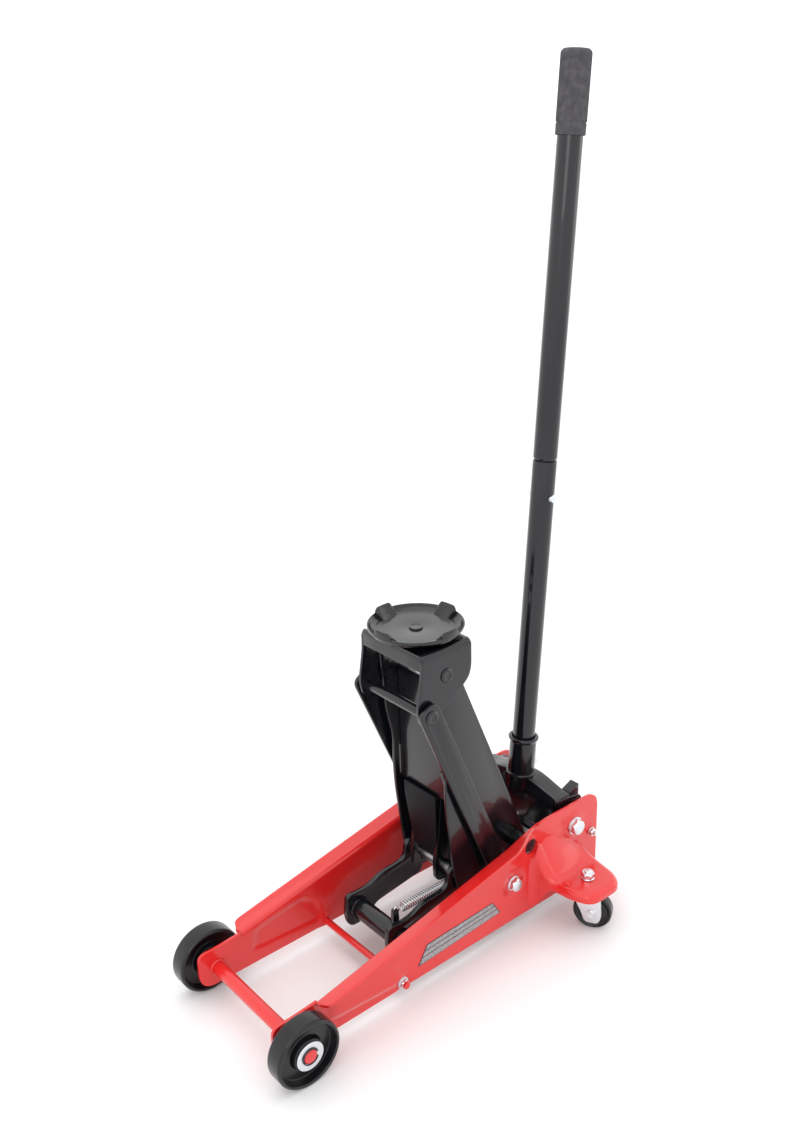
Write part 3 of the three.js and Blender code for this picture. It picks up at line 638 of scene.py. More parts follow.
# the ear seen from above: (x, y from the jack's middle, corner)
EAR_EDGE = [
    (384, 83.4), (409, 83.6, 16), (417, 112, 22), (420, 146, 16), (432, 174.5, 15), (484, 174.5, 15),
    (497, 158, 14), (504, 118, 20), (504, 83.4),
]
EAR_SHEET = 3.2  # thickness of the caster ears, in mm
EAR_DEEP = 50.0  # from the skirt's lowest edge up to the ear's flat top
EAR_TOP = span("caster_bracket_right")[0].z + EAR_DEEP
EAR_PEAK = (436, 128)  # where the ear climbs highest up the side plate


def caster_ear(side, tag):
    """The pressed ear over a caster: flat outside, swept up the side plate, with a skirt."""
    edge = soften(EAR_EDGE, 8, closed=False)
    count = 110
    path = even_steps(edge, count)
    root_y = edge[0].y

    def top(x, y):
        """Height of the ear's upper face, which climbs where it meets the side plate."""
        slope = 1.25 if x < EAR_PEAK[0] else 0.7
        ridge = EAR_PEAK[1] - slope * (hypot(x - EAR_PEAK[0], 12) - 12)
        near = min(max(1 - (y - root_y) / 44, 0), 1)
        return EAR_TOP - 2 + max(ridge - EAR_TOP, 0) * near ** 2.2

    def foot(y):
        """Height of the skirt's lower edge, which hangs deepest at the side plate."""
        return 63 - 36 * (1 - smoothstep((y - root_y) / 34))

    def fold(share, y):
        """Radius of the rounded edge: wide where the front sweeps up the plate, tight further out."""
        return 6.5 + 13 * (1 - smoothstep(share / 0.42)) * (1 - smoothstep((y - root_y) / 75))

    rows = []
    for i, here in enumerate(path):
        ahead, behind = path[min(i + 1, count)], path[max(i - 1, 0)]
        tangent = (ahead - behind).normalized()
        normal = Vector((-tangent.y, tangent.x))
        if normal.dot(here - Vector((459, root_y))) < 0:
            normal = -normal
        share = i / count
        root = Vector((edge[0].x + (edge[-1].x - edge[0].x) * share, root_y))
        bend = fold(share, here.y)
        rim = here - normal * bend
        rim.y = max(rim.y, root_y)
        outward = here - rim
        row = []
        for k in range(19):
            p = root.lerp(rim, k / 18)
            row.append((p.x, side * p.y, top(p.x, p.y)))
        base = row[-1][2]
        for k in range(1, 9):
            a = pi / 2 * k / 8
            p = rim + outward * sin(a)
            row.append((p.x, side * p.y, base - bend * (1 - cos(a))))
        low = min(foot(here.y), base - bend - 2)
        for k in range(1, 7):
            row.append((here.x, side * here.y, (base - bend) + (low - base + bend) * k / 6))
        rows.append(row)
    piece = sheet(f"caster_ear_{tag}", rows, EAR_SHEET, RED, 0.9, even=False)
    fit(piece, "frame", "red_paint", f"caster_bracket_{tag}")


low, high = span("front_wheel_left")
WHEEL_WIDTHS = {"front": high.y - low.y, "caster": 18.0}
AXLE_BORE = 9.3  # hole in a front wheel, with clearance round the axle


def rolled_wheel(kind, tag, axis, rim, dish, web, boss, bore, count=96):
    """A solid wheel with a raised rim, a dished web and a boss, the same on both faces."""
    node = f"{kind}_wheel_{tag}"
    low, high = span(node)
    radius = (high.z - low.z) / 2
    half = WHEEL_WIDTHS[kind] / 2
    face = [
        (bore, 2), (boss, 2), (boss + 1.5, dish), (web, dish + 1),
        (radius - rim, 1.5), (radius - rim + 1, 0), (radius - 2.2, 0), (radius, 2.2),
    ]
    profile = both_ends(face, -half, half)
    piece = lathe(f"{kind}_roller_{tag}", profile, (low + high) / 2, axis, WHEEL, count, 1.3)
    fit(piece, f"{node}_body", "wheel_black", node)


for side, tag in SIDES:
    side_plate(side, tag)
    caster_ear(side, tag)
    out = (0, side, 0)
    low, high = span(f"front_wheel_{tag}")
    rolled_wheel("front", tag, out, rim=5, dish=10.5, web=37.5, boss=20.5, bore=AXLE_BORE)
    face = side * (max(abs(low.y), abs(high.y)) - 2)
    seat = beside(AXLE, face + side * 0.3)
    fit(washer(f"wheel_washer_{tag}", seat, out, 9.6, 19, 2.2), "frame", "zinc_plate", f"axle_washer_{tag}")
    clip = [(AXLE.x + 10.6 * cos(a), face + side * 3.3, AXLE.z + 10.6 * sin(a))
            for a in (radians(20 + 320 * k / 40) for k in range(41))]
    fit(wire(f"axle_clip_{tag}", clip, 0.9, DARK_STEEL_AND_SHADE, 8), "frame", "bare_steel")
    weld_ring = ring_bead(f"axle_weld_{tag}", beside(AXLE, side * (SIDE_MID - 2.2)), out, 9.6, 2.2, RED)
    fit(weld_ring, "frame", "red_paint")

    seat = side * (SIDE_MID + 0.4)
    nut = join(
        f"tie_nut_{tag}",
        washer("w", beside(TIE, seat), out, 5, 8.2, 1.6),
        hexagon("h", beside(TIE, seat + side * 1.6), out, 11.6, 4.8, ZINC, bore=5.0, turn=0.3),
        sharp=28)
    fit(nut, "frame", "zinc_plate", f"tie_rod_nut_{tag}")

    seat = side * (SIDE_MID - 0.2)
    strap_bolt = join(
        f"strap_pivot_bolt_{tag}",
        bar("r", STRAP_PIVOT, side * 56, side * 84, 7, ZINC),
        bar("s", STRAP_PIVOT, side * 67, side * 81, 11, ZINC),
        washer("w", beside(STRAP_PIVOT, seat), out, 5, 11, 2.4),
        hexagon("h", beside(STRAP_PIVOT, seat + side * 2.4), out, 18, 7.5, ZINC, dome=0.8, turn=0.2),
        sharp=28)
    fit(strap_bolt, "frame", "zinc_plate", f"strap_bolt_{tag}")

    seat = side * (SIDE_MID + 3.6)
    yoke_bolt = join(
        f"yoke_pivot_bolt_{tag}",
        bar("r", YOKE_PIVOT, side * 62, side * 86, 7, ZINC),
        bar("s", YOKE_PIVOT, side * 75.4, side * 81, 10, ZINC),
        washer("w", beside(YOKE_PIVOT, seat), out, 6, 13, 3.0),
        hexagon("h", beside(YOKE_PIVOT, seat + side * 3.0), out, 21, 8.0, ZINC, dome=1.0),
        hexagon("n", beside(YOKE_PIVOT, side * 62.5), out, 19, 7, ZINC, bore=7),
        sharp=28)
    fit(yoke_bolt, "frame", "zinc_plate", f"yoke_bolt_{tag}")

    stud = middle(f"caster_stud_{tag}").to_2d()
    nut = join(
        f"caster_nut_{tag}",
        hexagon("h", (*stud, EAR_TOP + 1.2), UP, 16.5, 8.6, ZINC, bore=5, turn=0.4),
        washer("w", (*stud, EAR_TOP + 0.2), UP, 5, 9.5, 1.4),
        rod("s", (*stud, EAR_TOP - 5), (*stud, EAR_TOP + 11.6), 5, ZINC, 1.2),
        sharp=28)
    fit(nut, "frame", "zinc_plate", f"caster_stud_{tag}")

low, high = span("front_axle")
fit(bar("axle_bar", AXLE, low.y, high.y, 9, RED, 1.4), "frame", "red_paint", "front_axle")
low, high = span("tie_rod")
fit(bar("tie_bar", TIE, low.y, high.y, 4.8, RED, 1.0), "frame", "red_paint", "tie_rod")

low, high = span("rear_tie_rod")
rear_bar = [bar("r", REAR_TIE, low.y, high.y, 3.5, ZINC)]
for side, tag in SIDES:
    out = (0, side, 0)
    rear_bar.append(washer("w", beside(REAR_TIE, side * 86.4), out, 3.6, 6.6, 1.2))
    rear_bar.append(hexagon("h", beside(REAR_TIE, side * 87.6), out, 11, 4.6, ZINC, bore=3.5))
fit(join("rear_tie_bar", *rear_bar, sharp=28), "frame", "zinc_plate", "rear_tie_rod")

LABEL = [(197, 38), (346, 46), (331, 69), (213, 65)]


def label_point(u, v):
    """A point on the label, u along its length and v up from its lower edge."""
    low_edge = Vector(LABEL[0]).lerp(Vector(LABEL[1]), u)
    high_edge = Vector(LABEL[3]).lerp(Vector(LABEL[2]), u)
    return low_edge.lerp(high_edge, v)


label_y = -SIDE_MID - SHEET / 2 - 0.15
ground = plate("label_ground", [(*p, 1) for p in LABEL], label_y, label_y - 0.3, FILM_EDGE, edge=0.05)
fit(ground, "frame", "label_film", "label_stripe")
for i, (v0, v1) in enumerate(((0.04, 0.36), (0.42, 0.66), (0.72, 0.96))):
    corners = [(*label_point(u, v), 0.8) for u, v in ((0.012, v0), (0.988, v0), (0.988, v1), (0.012, v1))]
    band = plate(f"label_band_{i + 1}", corners, label_y - 0.25, label_y - 0.42, FILM, edge=0.04)
    fit(band, "frame", "label_film")


# ---------- casters ----------
CASTER_TURN = radians(60)  # how far each caster's wheel is swivelled round from straight back
TRAIL = 9.0  # from the stud back to the wheel's axle
CASTER_AXLE_Z = 27.0
CHEEK_IN = 10.0  # inner face of a fork cheek, from the wheel's middle


def local_frame(side):
    """Takes the caster's own frame, wheel behind along +X, to its place under the ear."""
    stud = pivot(f"caster_{'left' if side == LEFT else 'right'}_swivel")
    return Matrix.Translation((stud.x, stud.y, 0)) @ Matrix.Rotation(side * CASTER_TURN, 4, "Z")


def caster(side, tag):
    place = TO_METRES @ local_frame(side) @ TO_METRES.inverted()
    outline = [(-20, 65.5), (-20, 56, 8), (TRAIL - 14, 25, 8), (TRAIL - 10, 11, 10), (TRAIL + 10, 11, 10),
               (TRAIL + 14, 25, 8), (21, 56, 8), (21, 65.5)]
    pressing = [(0, 0), (7.2, 0), (6.8, 0.9), (5.8, 1.0), (5.4, 0.4), (0, 0.4)]
    parts = []
    for s in (LEFT, RIGHT):
        parts.append(plate("c", outline, s * CHEEK_IN, s * (CHEEK_IN + 2.5), ZINC, edge=0.7))
        hub_face = (TRAIL, s * (CHEEK_IN + 2.2), CASTER_AXLE_Z)
        parts.append(lathe("e", pressing, hub_face, (0, s, 0), ZINC, 40, 0.2))
    top = [(-20, -12.5, 3), (21, -12.5, 3), (21, 12.5, 3), (-20, 12.5, 3)]
    parts.append(plate("t", top, 63.2, 66.2, ZINC, "XY", edge=1.1))
    race = [(0, 65.8), (17, 65.8), (20, 66.6), (20, 69.2), (17.5, 69.9), (0, 69.9)]
    parts.append(lathe("r", race, (0, 0, 0), UP, ZINC, 64, 0.8))
    fork = join(f"fork_{tag}", *parts, sharp=30)
    hub = (TRAIL, 0, CASTER_AXLE_Z)
    rivet_line = both_ends([(0, 0), (4.0, 0.2), (5.0, 1.0), (5.0, 1.4), (3.4, 1.5)], -14.0, 14.0)
    rivet = join(f"caster_rivet_{tag}", lathe("a", rivet_line, hub, ACROSS, ZINC, 40, 0.4), sharp=30)
    for piece, slot, node in ((fork, "zinc_plate", "caster_fork"), (rivet, "bare_steel", "caster_axle")):
        piece.data.transform(place)
        fit(piece, f"caster_{tag}", slot, f"{node}_{tag}")
    axis = local_frame(side).to_3x3() @ ACROSS
    rolled_wheel("caster", tag, axis, rim=3.5, dish=2.5, web=20, boss=17, bore=3.8, count=72)


for side, tag in SIDES:
    caster(side, tag)


# ---------- lift arm ----------
ARM_OUTLINE = [
    (258, 440, 18), (300, 440, 18), (309, 399, 10), (429, 116, 10), (429, 98, 22), (386, 99, 6),
    (340, 86, 20), (298, 84, 10), (289, 134, 20), (278, 226, 30), (278, 290, 14), (267, 335, 16),
    (262, 392, 12),
]
LEVER_OUTLINE = [
    (294.6, 227.5, 1), (332, 193.5, 5), (324, 178, 8), (330, 142, 16), (320, 95, 18), (302, 91, 14),
    (283, 95, 18), (282, 128, 12), (289, 165, 12),
]
for side, tag in SIDES:
    low, high = span(f"arm_side_{tag}")
    holes = [hole(HEAD_PIN, 7.2), hole(ARM_PIVOT, 12.2)]
    piece = plate(f"arm_leg_{tag}", ARM_OUTLINE, low.y, high.y, BLACK, holes=holes, edge=1.5)
    fit(piece, "lift_arm", "black_paint", f"arm_side_{tag}")
    low, high = span(f"lever_cheek_{tag}")
    holes = [hole(LEVER_PIN, 8.2)]
    cheek = plate(f"lever_leg_{tag}", LEVER_OUTLINE, low.y, high.y, BLACK, holes=holes, edge=1.4)
    fit(cheek, "lift_arm", "black_paint", f"lever_cheek_{tag}")

low, high = span("arm_web")
cross = [(low.y, low.z, 1), (high.y, low.z, 1), (high.y, high.z, 1), (low.y, high.z, 1)]
fit(plate("arm_front_web", cross, low.x, high.x, BLACK, "YZ", edge=1.4), "lift_arm", "black_paint", "arm_web")
# the lever's front plate stays narrow on the left, where the spring's lug passes it
lever_face = [(-25, 226, 2), (39, 226, 2), (38, 206, 4), (19.5, 134, 4), (-19.5, 134, 4), (-25, 154, 4)]
# The lever's front plate takes the darker, duller copy of the black paint as painted shade.
fit(plate("lever_front", lever_face, 284.4, 288.4, SHADED_BLACK, "YZ", edge=1.0), "lift_arm", "black_paint")
low, high = span("arm_gusset")
GUSSET_TALL = 6.8  # the sloping plate's thickness, measured straight up
slope = [(low.x, high.z - GUSSET_TALL), (high.x, low.z), (high.x, low.z + GUSSET_TALL), (low.x, high.z)]
gusset = plate("arm_back_web", slope, low.y, high.y, BLACK, edge=1.2)
fit(gusset, "lift_arm", "black_paint", "arm_gusset")
fit(bead("web_weld_right", (288.4, 49.9, 274), (288.4, 49.9, 230)), "lift_arm", "bare_steel")
fit(bead("web_weld_left", (274, -49.9, 281), (288.4, -49.9, 230)), "lift_arm", "bare_steel")

shaft = join(
    "pivot_shaft", bar("s", ARM_PIVOT, -81, 81, 12, BLACK, 1.5),
    plate("t", [(393, 81, 2), (399, 81, 2), (399, 122), (393, 122)], -36, -30, BLACK, edge=0.6))
fit(shaft, "frame", "bare_steel", "arm_pivot_shaft")


def rivet_head(name, point, axis, radius=9.5, height=2.4):
    """A pin's peened end: a low dome with a ring pressed into it."""
    profile = [
        (0, height * 0.55), (radius * 0.42, height * 0.55), (radius * 0.55, height), (radius * 0.8, height),
        (radius, height * 0.35), (radius, -1), (0, -1),
    ]
    return lathe(name, profile, point, axis, BLACK, 40, 0.5)


def cross_pin(name, at, half, reach, body, node):
    parts = [bar("r", at, -half, half, 7, BLACK)]
    for side, _ in SIDES:
        parts.append(rivet_head("h", beside(at, side * reach), (0, side, 0)))
    fit(join(name, *parts, sharp=30), body, "black_paint", node)


cross_pin("head_cross_pin", HEAD_PIN, 58, 58.9, "lift_arm", "head_pin")
cross_pin("strap_cross_pin", STRAP_PIN, 67, 66.9, "link_straps", "strap_cross_rod")
low, high = span("lever_pin")
lever_pin = bar("lever_cross_pin", LEVER_PIN, low.y, high.y, 8, STEEL, 1.2)
fit(lever_pin, "lift_arm", "bare_steel", "lever_pin")

# ---------- parallel straps ----------
STRAP_WIDE = 32.0
strap_long = (STRAP_PIN - STRAP_PIVOT).length
strap_dir = (STRAP_PIN - STRAP_PIVOT).normalized()
for side, tag in SIDES:
    low, high = span(f"link_strap_{tag}")
    reach = STRAP_WIDE / 2
    outline = []
    far = strap_long + reach
    for u, v in ((-reach, -reach), (far, -reach), (far, reach), (-reach, reach)):
        p = STRAP_PIVOT + strap_dir * u + Vector((-strap_dir.z, 0, strap_dir.x)) * v
        outline.append(hole(p, 14))
    holes = [hole(STRAP_PIVOT, 7.2), hole(STRAP_PIN, 7.2)]
    strap = plate(f"strap_{tag}", outline, low.y, high.y, BLACK, holes=holes, edge=1.2, steps=10)
    fit(strap, "link_straps", "black_paint", f"link_strap_{tag}")

# ---------- saddle bracket and saddle ----------
CHEEK_OUTLINE = [
    (238, 457), (238, 430, 10), (230, 384, 10), (236, 361, 16), (262, 366, 10), (300, 393, 10), (316, 406, 8),
    (320, 420, 8), (320, 457),
]


def saddle_bracket():
    low, high = span("saddle_bracket")
    outline = [(p.x, p.y) for p in soften(CHEEK_OUTLINE, 8)]
    mid_y = high.y - 2.1
    mid_top = high.z - 2
    fold = 6.0
    roof_x = (239, 320)
    foot = min(p[1] for p in outline)
    half = []
    levels = 26
    for k in range(levels + 1):
        z = foot + 0.3 + (mid_top - fold - foot - 0.3) * (k / levels) ** 1.2
        half.append((mid_y, z, *crossing(outline, z, 1)))
    for k in range(1, 7):
        a = pi / 2 * k / 6
        z = mid_top - fold + fold * sin(a)
        half.append((mid_y - fold * (1 - cos(a)), z, *roof_x))
    for k in range(1, 6):
        half.append(((mid_y - fold) * (1 - k / 6), mid_top, *roof_x))
    section = [(-y, z, a, b) for y, z, a, b in half]
    section += [(0, mid_top, *roof_x)] + half[::-1]
    rows = [[(a + (b - a) * k / 16, y, z) for k in range(17)] for y, z, a, b in section]
    shell = sheet("s", rows, 4.0, BLACK, 1.0)
    lip_rows = []
    for k in range(7):
        a = pi / 2 * k / 6
        lip_rows.append((243.5 - 3.5 * sin(a), mid_top - 3.5 * (1 - cos(a))))
    lip_rows += [(240, mid_top - 3.5 - (16 * k / 4)) for k in range(1, 5)]
    lip = sheet("l", [[(x, y, z) for y in (-57, -28, 0, 28, 57)] for x, z in lip_rows], 3.9, BLACK, 1.0)
    return join("saddle_yoke", shell, lip)


fit(saddle_bracket(), "saddle_head", "black_paint", "saddle_bracket")

low, high = span("saddle_cup")
SADDLE = Vector(((low.x + high.x) / 2, 0, 0))
SADDLE_R = (high.x - low.x) / 2
FLOOR_Z = 465.0
RIM_Z = 472.0
dish = [
    (7.2, low.z + 0.2), (42, low.z + 0.2), (SADDLE_R - 5, 463.5), (SADDLE_R - 0.8, 468),
    (SADDLE_R - 0.2, RIM_Z - 0.8), (SADDLE_R - 1.0, RIM_Z + 0.3), (SADDLE_R - 2.6, RIM_Z - 0.6),
    (SADDLE_R - 5, 468.4), (SADDLE_R - 10, 465.8), (SADDLE_R - 17, FLOOR_Z), (7.2, FLOOR_Z),
]
saddle_parts = [lathe("d", dish, SADDLE, UP, BLACK, 128, 1.0)]


def saddle_lug(turn):
    """A tab that stands up from the saddle's rim, wider at its foot and leaning in a little."""
    foot = 464.0
    section = [
        (SADDLE_R - 3.4, foot), (SADDLE_R - 0.9, 471), (SADDLE_R - 0.6, 476), (SADDLE_R - 1.4, 478.6),
        (SADDLE_R - 3.0, 479.2), (SADDLE_R - 4.4, 478.2), (SADDLE_R - 7.4, 473.5), (SADDLE_R - 12, 469.4),
        (SADDLE_R - 16, 464.6),
    ]
    bm = bmesh.new()
    rows = []
    steps = 16
    for k in range(steps + 1):
        share = 2 * k / steps - 1
        row = []
        for r, z in section:
            lift = min(max((z - foot) / 15, 0), 1)
            a = turn + radians(15.5 - 2.6 * lift) * share
            ease = 1 - 0.25 * smoothstep((abs(share) - 0.8) / 0.2) * lift
            row.append(bm.verts.new((r * cos(a) + SADDLE.x, r * sin(a), foot + (z - foot) * ease)))
        rows.append(row)
    skin(bm, rows, capped=True)
    return round_edges(new_piece("l", bm, BLACK), 0.9, 45)


for quarter in range(4):
    saddle_parts.append(saddle_lug(radians(5) + quarter * pi / 2))
fit(join("saddle_dish", *saddle_parts, sharp=40), "saddle", "black_paint", "saddle_cup")

low, high = span("saddle_screw")
post = [
    (0, FLOOR_Z + 1.2), (6.4, FLOOR_Z + 1.2), (7.2, FLOOR_Z + 1.9), (8.2, FLOOR_Z + 1.9),
    (9.0, FLOOR_Z + 1.0), (9.2, FLOOR_Z + 0.2), (6.4, FLOOR_Z + 0.1), (6.4, 452), (13.8, 452),
    (13.8, low.z), (0, low.z),
]
screw = lathe("saddle_post", post, SADDLE, UP, BLACK, 64, 0.7)
fit(screw, "saddle_head", "black_paint", "saddle_screw")

# ---------- spring bridle ----------
BAR_OUTLINE = [
    (178, 56, 24), (182, 84, 9), (200, 82, 12), (219, 82, 16), (240, 92, 16), (284, 95, 12), (288, 125, 14),
    (316, 125, 14), (318, 90, 18), (314, 61, 8), (229, 50, 10), (217, 32, 14), (183, 32, 16),
]
BRIDLE_TUBE = Vector((202, 0, 56))
low, high = span("bridle_tube")
for side, tag in SIDES:
    inner, outer = span(f"bridle_bar_{tag}")
    holes = [hole(LEVER_PIN, 8.2), hole(BRIDLE_TUBE, 14.1)]
    link = plate(f"bridle_link_{tag}", BAR_OUTLINE, inner.y, outer.y, BLACK, holes=holes, edge=1.7, steps=9)
    fit(link, "bridle", "black_paint", f"bridle_bar_{tag}")
tube_line = both_ends([(0, 0), (9, 0), (9.5, 3), (11.5, 3), (12, 0), (14, 0)], low.y, high.y)
lug_outline = [(199, 60), (209, 60), (209, 84, 4), (207, 96, 4.6), (200, 96, 4.6), (199, 84, 3)]
tube_parts = [
    lathe("t", tube_line, BRIDLE_TUBE, ACROSS, BLACK, 64, 0.7),
    plate("e", lug_outline, -36, -30, BLACK, holes=[(203.4, 90.5, 2.2)], edge=0.8),
    ring_bead("a", beside(BRIDLE_TUBE, -39.4), ACROSS, 14.2, 1.5, BLACK),
    ring_bead("b", beside(BRIDLE_TUBE, 39.4), ACROSS, 14.2, 1.5, BLACK),
]
fit(join("bridle_roller", *tube_parts), "bridle", "black_paint", "bridle_tube")


def helix(start, end, radius, coils, steps, closed=False):
    """Points of a coil from start to end; a closed one has a nearly flat turn at each end."""
    start, end = Vector(start), Vector(end)
    axis = end - start
    matrix = aligned(start, axis)
    points = []
    count = coils * steps
    for k in range(count + 1):
        t = k / count
        along = t
        if closed:
            flat = 0.8 / coils
            along = min(max((t - flat) / (1 - 2 * flat), 0), 1) * 0.96 + 0.04 * t
        angle = 2 * pi * coils * t
        local = Vector((radius * cos(angle), radius * sin(angle), along * axis.length))
        points.append(matrix @ local)
    return points


SPRING_FRONT, SPRING_REAR = Vector((208, -33, 92)), Vector((392, -33, 87))
SPRING_R, SPRING_COILS, SPRING_WIRE, HOOK_R = 5.4, 42, 1.15, 4.6
spring_axis = (SPRING_FRONT - SPRING_REAR).normalized()
hook_room = spring_axis * 8
body_points = helix(SPRING_REAR + hook_room, SPRING_FRONT - hook_room, SPRING_R, SPRING_COILS, 16)


def end_hook(centre, along, first):
    """A round hook that turns out of the coil's end."""
    start_angle = 0 if first else pi
    angles = [start_angle + radians(300) * k / 24 for k in range(25)]
    return [centre + (along * cos(a) + UP * sin(a)) * HOOK_R for a in angles]


coil = join(
    "tension_spring",
    wire("c", body_points, SPRING_WIRE, WIRE, 8),
    wire("f", end_hook(SPRING_FRONT + spring_axis * 1.5, spring_axis, False), SPRING_WIRE, WIRE, 8),
    wire("r", end_hook(SPRING_REAR + spring_axis * 2.5, spring_axis, True), SPRING_WIRE, WIRE, 8),
    sharp=60)
fit(coil, "return_spring_body", "spring_steel", "return_spring")
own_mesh(coil)

# ---------- hydraulic unit ----------
ram_dir = Vector(JOINTS["ram_slide"]["axis"])
barrel_line = [(11.3, 14), (18, 14), (18, 82), (19.5, 84), (19.5, 94), (11.3, 94)]
barrel = join(
    "cylinder",
    lathe("b", barrel_line, TRUNNION, ram_dir, STEEL, 64, 0.8),
    bar("e", TRUNNION, -18, 18, 13, STEEL, 1.2),
    rod("n", TRUNNION + ram_dir * 2, TRUNNION + ram_dir * 15, 13.5, STEEL, 1.0))
fit(barrel, "ram_barrel_body", "bare_steel", "ram_barrel")
reach = (LEVER_PIN - TRUNNION).length - 9
ram_line = [(0, 87), (11, 87), (11, reach - 10), (14, reach - 10), (14, reach), (0, reach)]
fit(lathe("ram_shaft", ram_line, TRUNNION, ram_dir, ZINC, 56, 0.9), "ram", "bare_steel", "ram_rod")
low, high = span("trunnion_pin")
fit(bar("trunnion", TRUNNION, low.y, high.y, 6, STEEL), "frame", "bare_steel", "trunnion_pin")
# The pump block and roller pin get dark steel in place of bare steel: painted shade for the dark pocket they
# sit in.
for node, width in (("pump_block", 1.4), ("roller_pin", 0.6)):
    carried = frame["nodes"][node]
    carried.data.materials.clear()
    carried.data.materials.append(DARK_STEEL_AND_SHADE)
    merge = carried.modifiers.new("merge", "WELD")
    merge.merge_threshold = 0.02 * MM
    bevel = carried.modifiers.new("round edges", "BEVEL")
    bevel.width = width * MM
    bevel.segments = 2
    bevel.angle_limit = radians(40)

low, high = span("pump_plunger")
PLUNGER = (low + high) / 2
plunger_line = [(0, low.z), (7, low.z), (7, high.z - 5), (11, high.z - 5), (11, high.z), (0, high.z)]
piston = lathe("piston", plunger_line, (PLUNGER.x, 0, 0), UP, STEEL, 48, 0.8)
fit(piston, "plunger", "bare_steel", "pump_plunger")
low, high = span("pump_spring")
points = helix((PLUNGER.x, 0, low.z + 1.2), (PLUNGER.x, 0, high.z - 1.2), 9.5, 8, 24, closed=True)
coil = wire("piston_spring", points, 1.2, WIRE, 10)
fit(coil, "plunger", "spring_steel", "pump_spring")
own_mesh(coil)
low, high = span("release_valve")
valve_at = ((low + high) / 2).to_2d()
valve = join(
    "valve_key", rod("s", (*valve_at, low.z), (*valve_at, high.z - 12), 4, STEEL),
    hexagon("h", (*valve_at, high.z - 16), UP, 10.4, 16, STEEL),
    sharp=28)
fit(valve, "release_valve_body", "bare_steel", "release_valve")
low, high = span("pump_roller")
roller_at = (low + high) / 2
roller_line = [(4.8, low.y), (7.5, low.y), (7.5, high.y), (4.8, high.y)]
roller = lathe("push_roller", roller_line, beside(roller_at, 0), ACROSS, STEEL, 48, 0.8)
fit(roller, "pump_lever", "bare_steel", "pump_roller")

# ---------- handle yoke ----------
YOKE_FRONT, YOKE_IN, YOKE_OUT, YOKE_TOP, YOKE_EAVE = 464.0, 70.0, 75.0, 178.0, 166.0


def handle_yoke():
    arm = [(YOKE_FRONT, 102, 10), (500, 102, 18), (522, 124, 14), (518, YOKE_EAVE - 11, 9),
           (YOKE_FRONT, YOKE_EAVE, 3)]
    holes = [hole(YOKE_PIVOT, 7.3), hole(roller_at, 4.6)]
    parts = [plate("a", arm, side * YOKE_IN, side * YOKE_OUT, BLACK, edge=1.3, holes=holes)
             for side, _ in SIDES]
    front = [(-YOKE_OUT, 102, 8), (-30, 110, 10), (30, 110, 10), (YOKE_OUT, 102, 8), (YOKE_OUT, YOKE_EAVE, 3),
             (20, YOKE_TOP, 6), (-20, YOKE_TOP, 6), (-YOKE_OUT, YOKE_EAVE, 3)]
    parts.append(plate("f", front, YOKE_FRONT, YOKE_FRONT + 5, BLACK, "YZ", edge=1.4))
    half = (0, 14, 22, 30, 39, 48, 57, 66, 75)
    roof = []
    for x in (YOKE_FRONT + 2, YOKE_FRONT + 10, YOKE_FRONT + 19, YOKE_FRONT + 28):
        roof.append([(x, y, YOKE_TOP - 2.5 - (YOKE_TOP - YOKE_EAVE) * smoothstep((abs(y) - 14) / 62))
                     for y in [-y for y in half[:0:-1]] + list(half)])
    parts.append(sheet("r", roof, 5.0, BLACK, 1.3))
    stop = [(496, 146), (516, 146), (516, 171, 1.5), (496, 163, 1.5)]
    parts.append(plate("b", stop, -YOKE_IN - 1, -YOKE_IN + 14, BLACK, edge=1.0))
    socket = [(16.6, 158), (19, 158), (19, 229), (20.2, 231), (21.5, 232.4), (21.5, 234.6), (20.2, 236),
              (16.8, 236)]
    parts.append(lathe("s", socket, HANDLE_FOOT, HANDLE_AXIS, BLACK, 72, 0.7))
    parts.append(ring_bead("w", HANDLE_FOOT + HANDLE_AXIS * (YOKE_TOP + 1.2), HANDLE_AXIS, 19.3, 2.0, BLACK))
    fit(join("pump_yoke", *parts), "pump_lever", "black_paint", "handle_yoke")


handle_yoke()
screw_axis = Vector((HANDLE_AXIS.z, 0, -HANDLE_AXIS.x))
SCREW_UP = 190.0  # height of the set screw along the handle
base = HANDLE_FOOT + HANDLE_AXIS * SCREW_UP
set_screw = join(
    "socket_bolt", rod("r", base + screw_axis * 16.6, base + screw_axis * 24, 4, ZINC),
    hexagon("h", base + screw_axis * 21.5, screw_axis, 12.1, 6.5, ZINC, dome=0.6),
    sharp=28)
fit(set_screw, "pump_lever", "zinc_plate", "socket_screw")

# ---------- handle ----------
TUBE_R, JOINT_Z, GRIP_LOW, GRIP_TOP, GRIP_R = 16.0, 637.0, 1037.0, 1133.0, 19.0
lower = [(14, 180), (TUBE_R, 180), (TUBE_R, JOINT_Z - 0.6), (14, JOINT_Z - 0.6)]
lower_tube = lathe("lower_tube", lower, HANDLE_FOOT, HANDLE_AXIS, BLACK, 80, 0.6)
fit(lower_tube, "handle", "black_paint", "handle_tube_lower")
upper = [
    (11.7, 559), (13.7, 559), (13.7, JOINT_Z + 1.2), (TUBE_R - 0.9, JOINT_Z + 1.4), (TUBE_R, JOINT_Z + 4),
    (TUBE_R, GRIP_TOP - 7), (11.7, GRIP_TOP - 7),
]
upper_tube = lathe("upper_tube", upper, HANDLE_FOOT, HANDLE_AXIS, BLACK, 80, 0.6)
fit(upper_tube, "handle", "black_paint", "handle_tube_upper")
BOLT_UP = 588.0  # height of the joining bolt along the handle
bolt_at = HANDLE_FOOT + HANDLE_AXIS * BOLT_UP
bolt_face = Vector((0, TUBE_R + 0.2, 0))
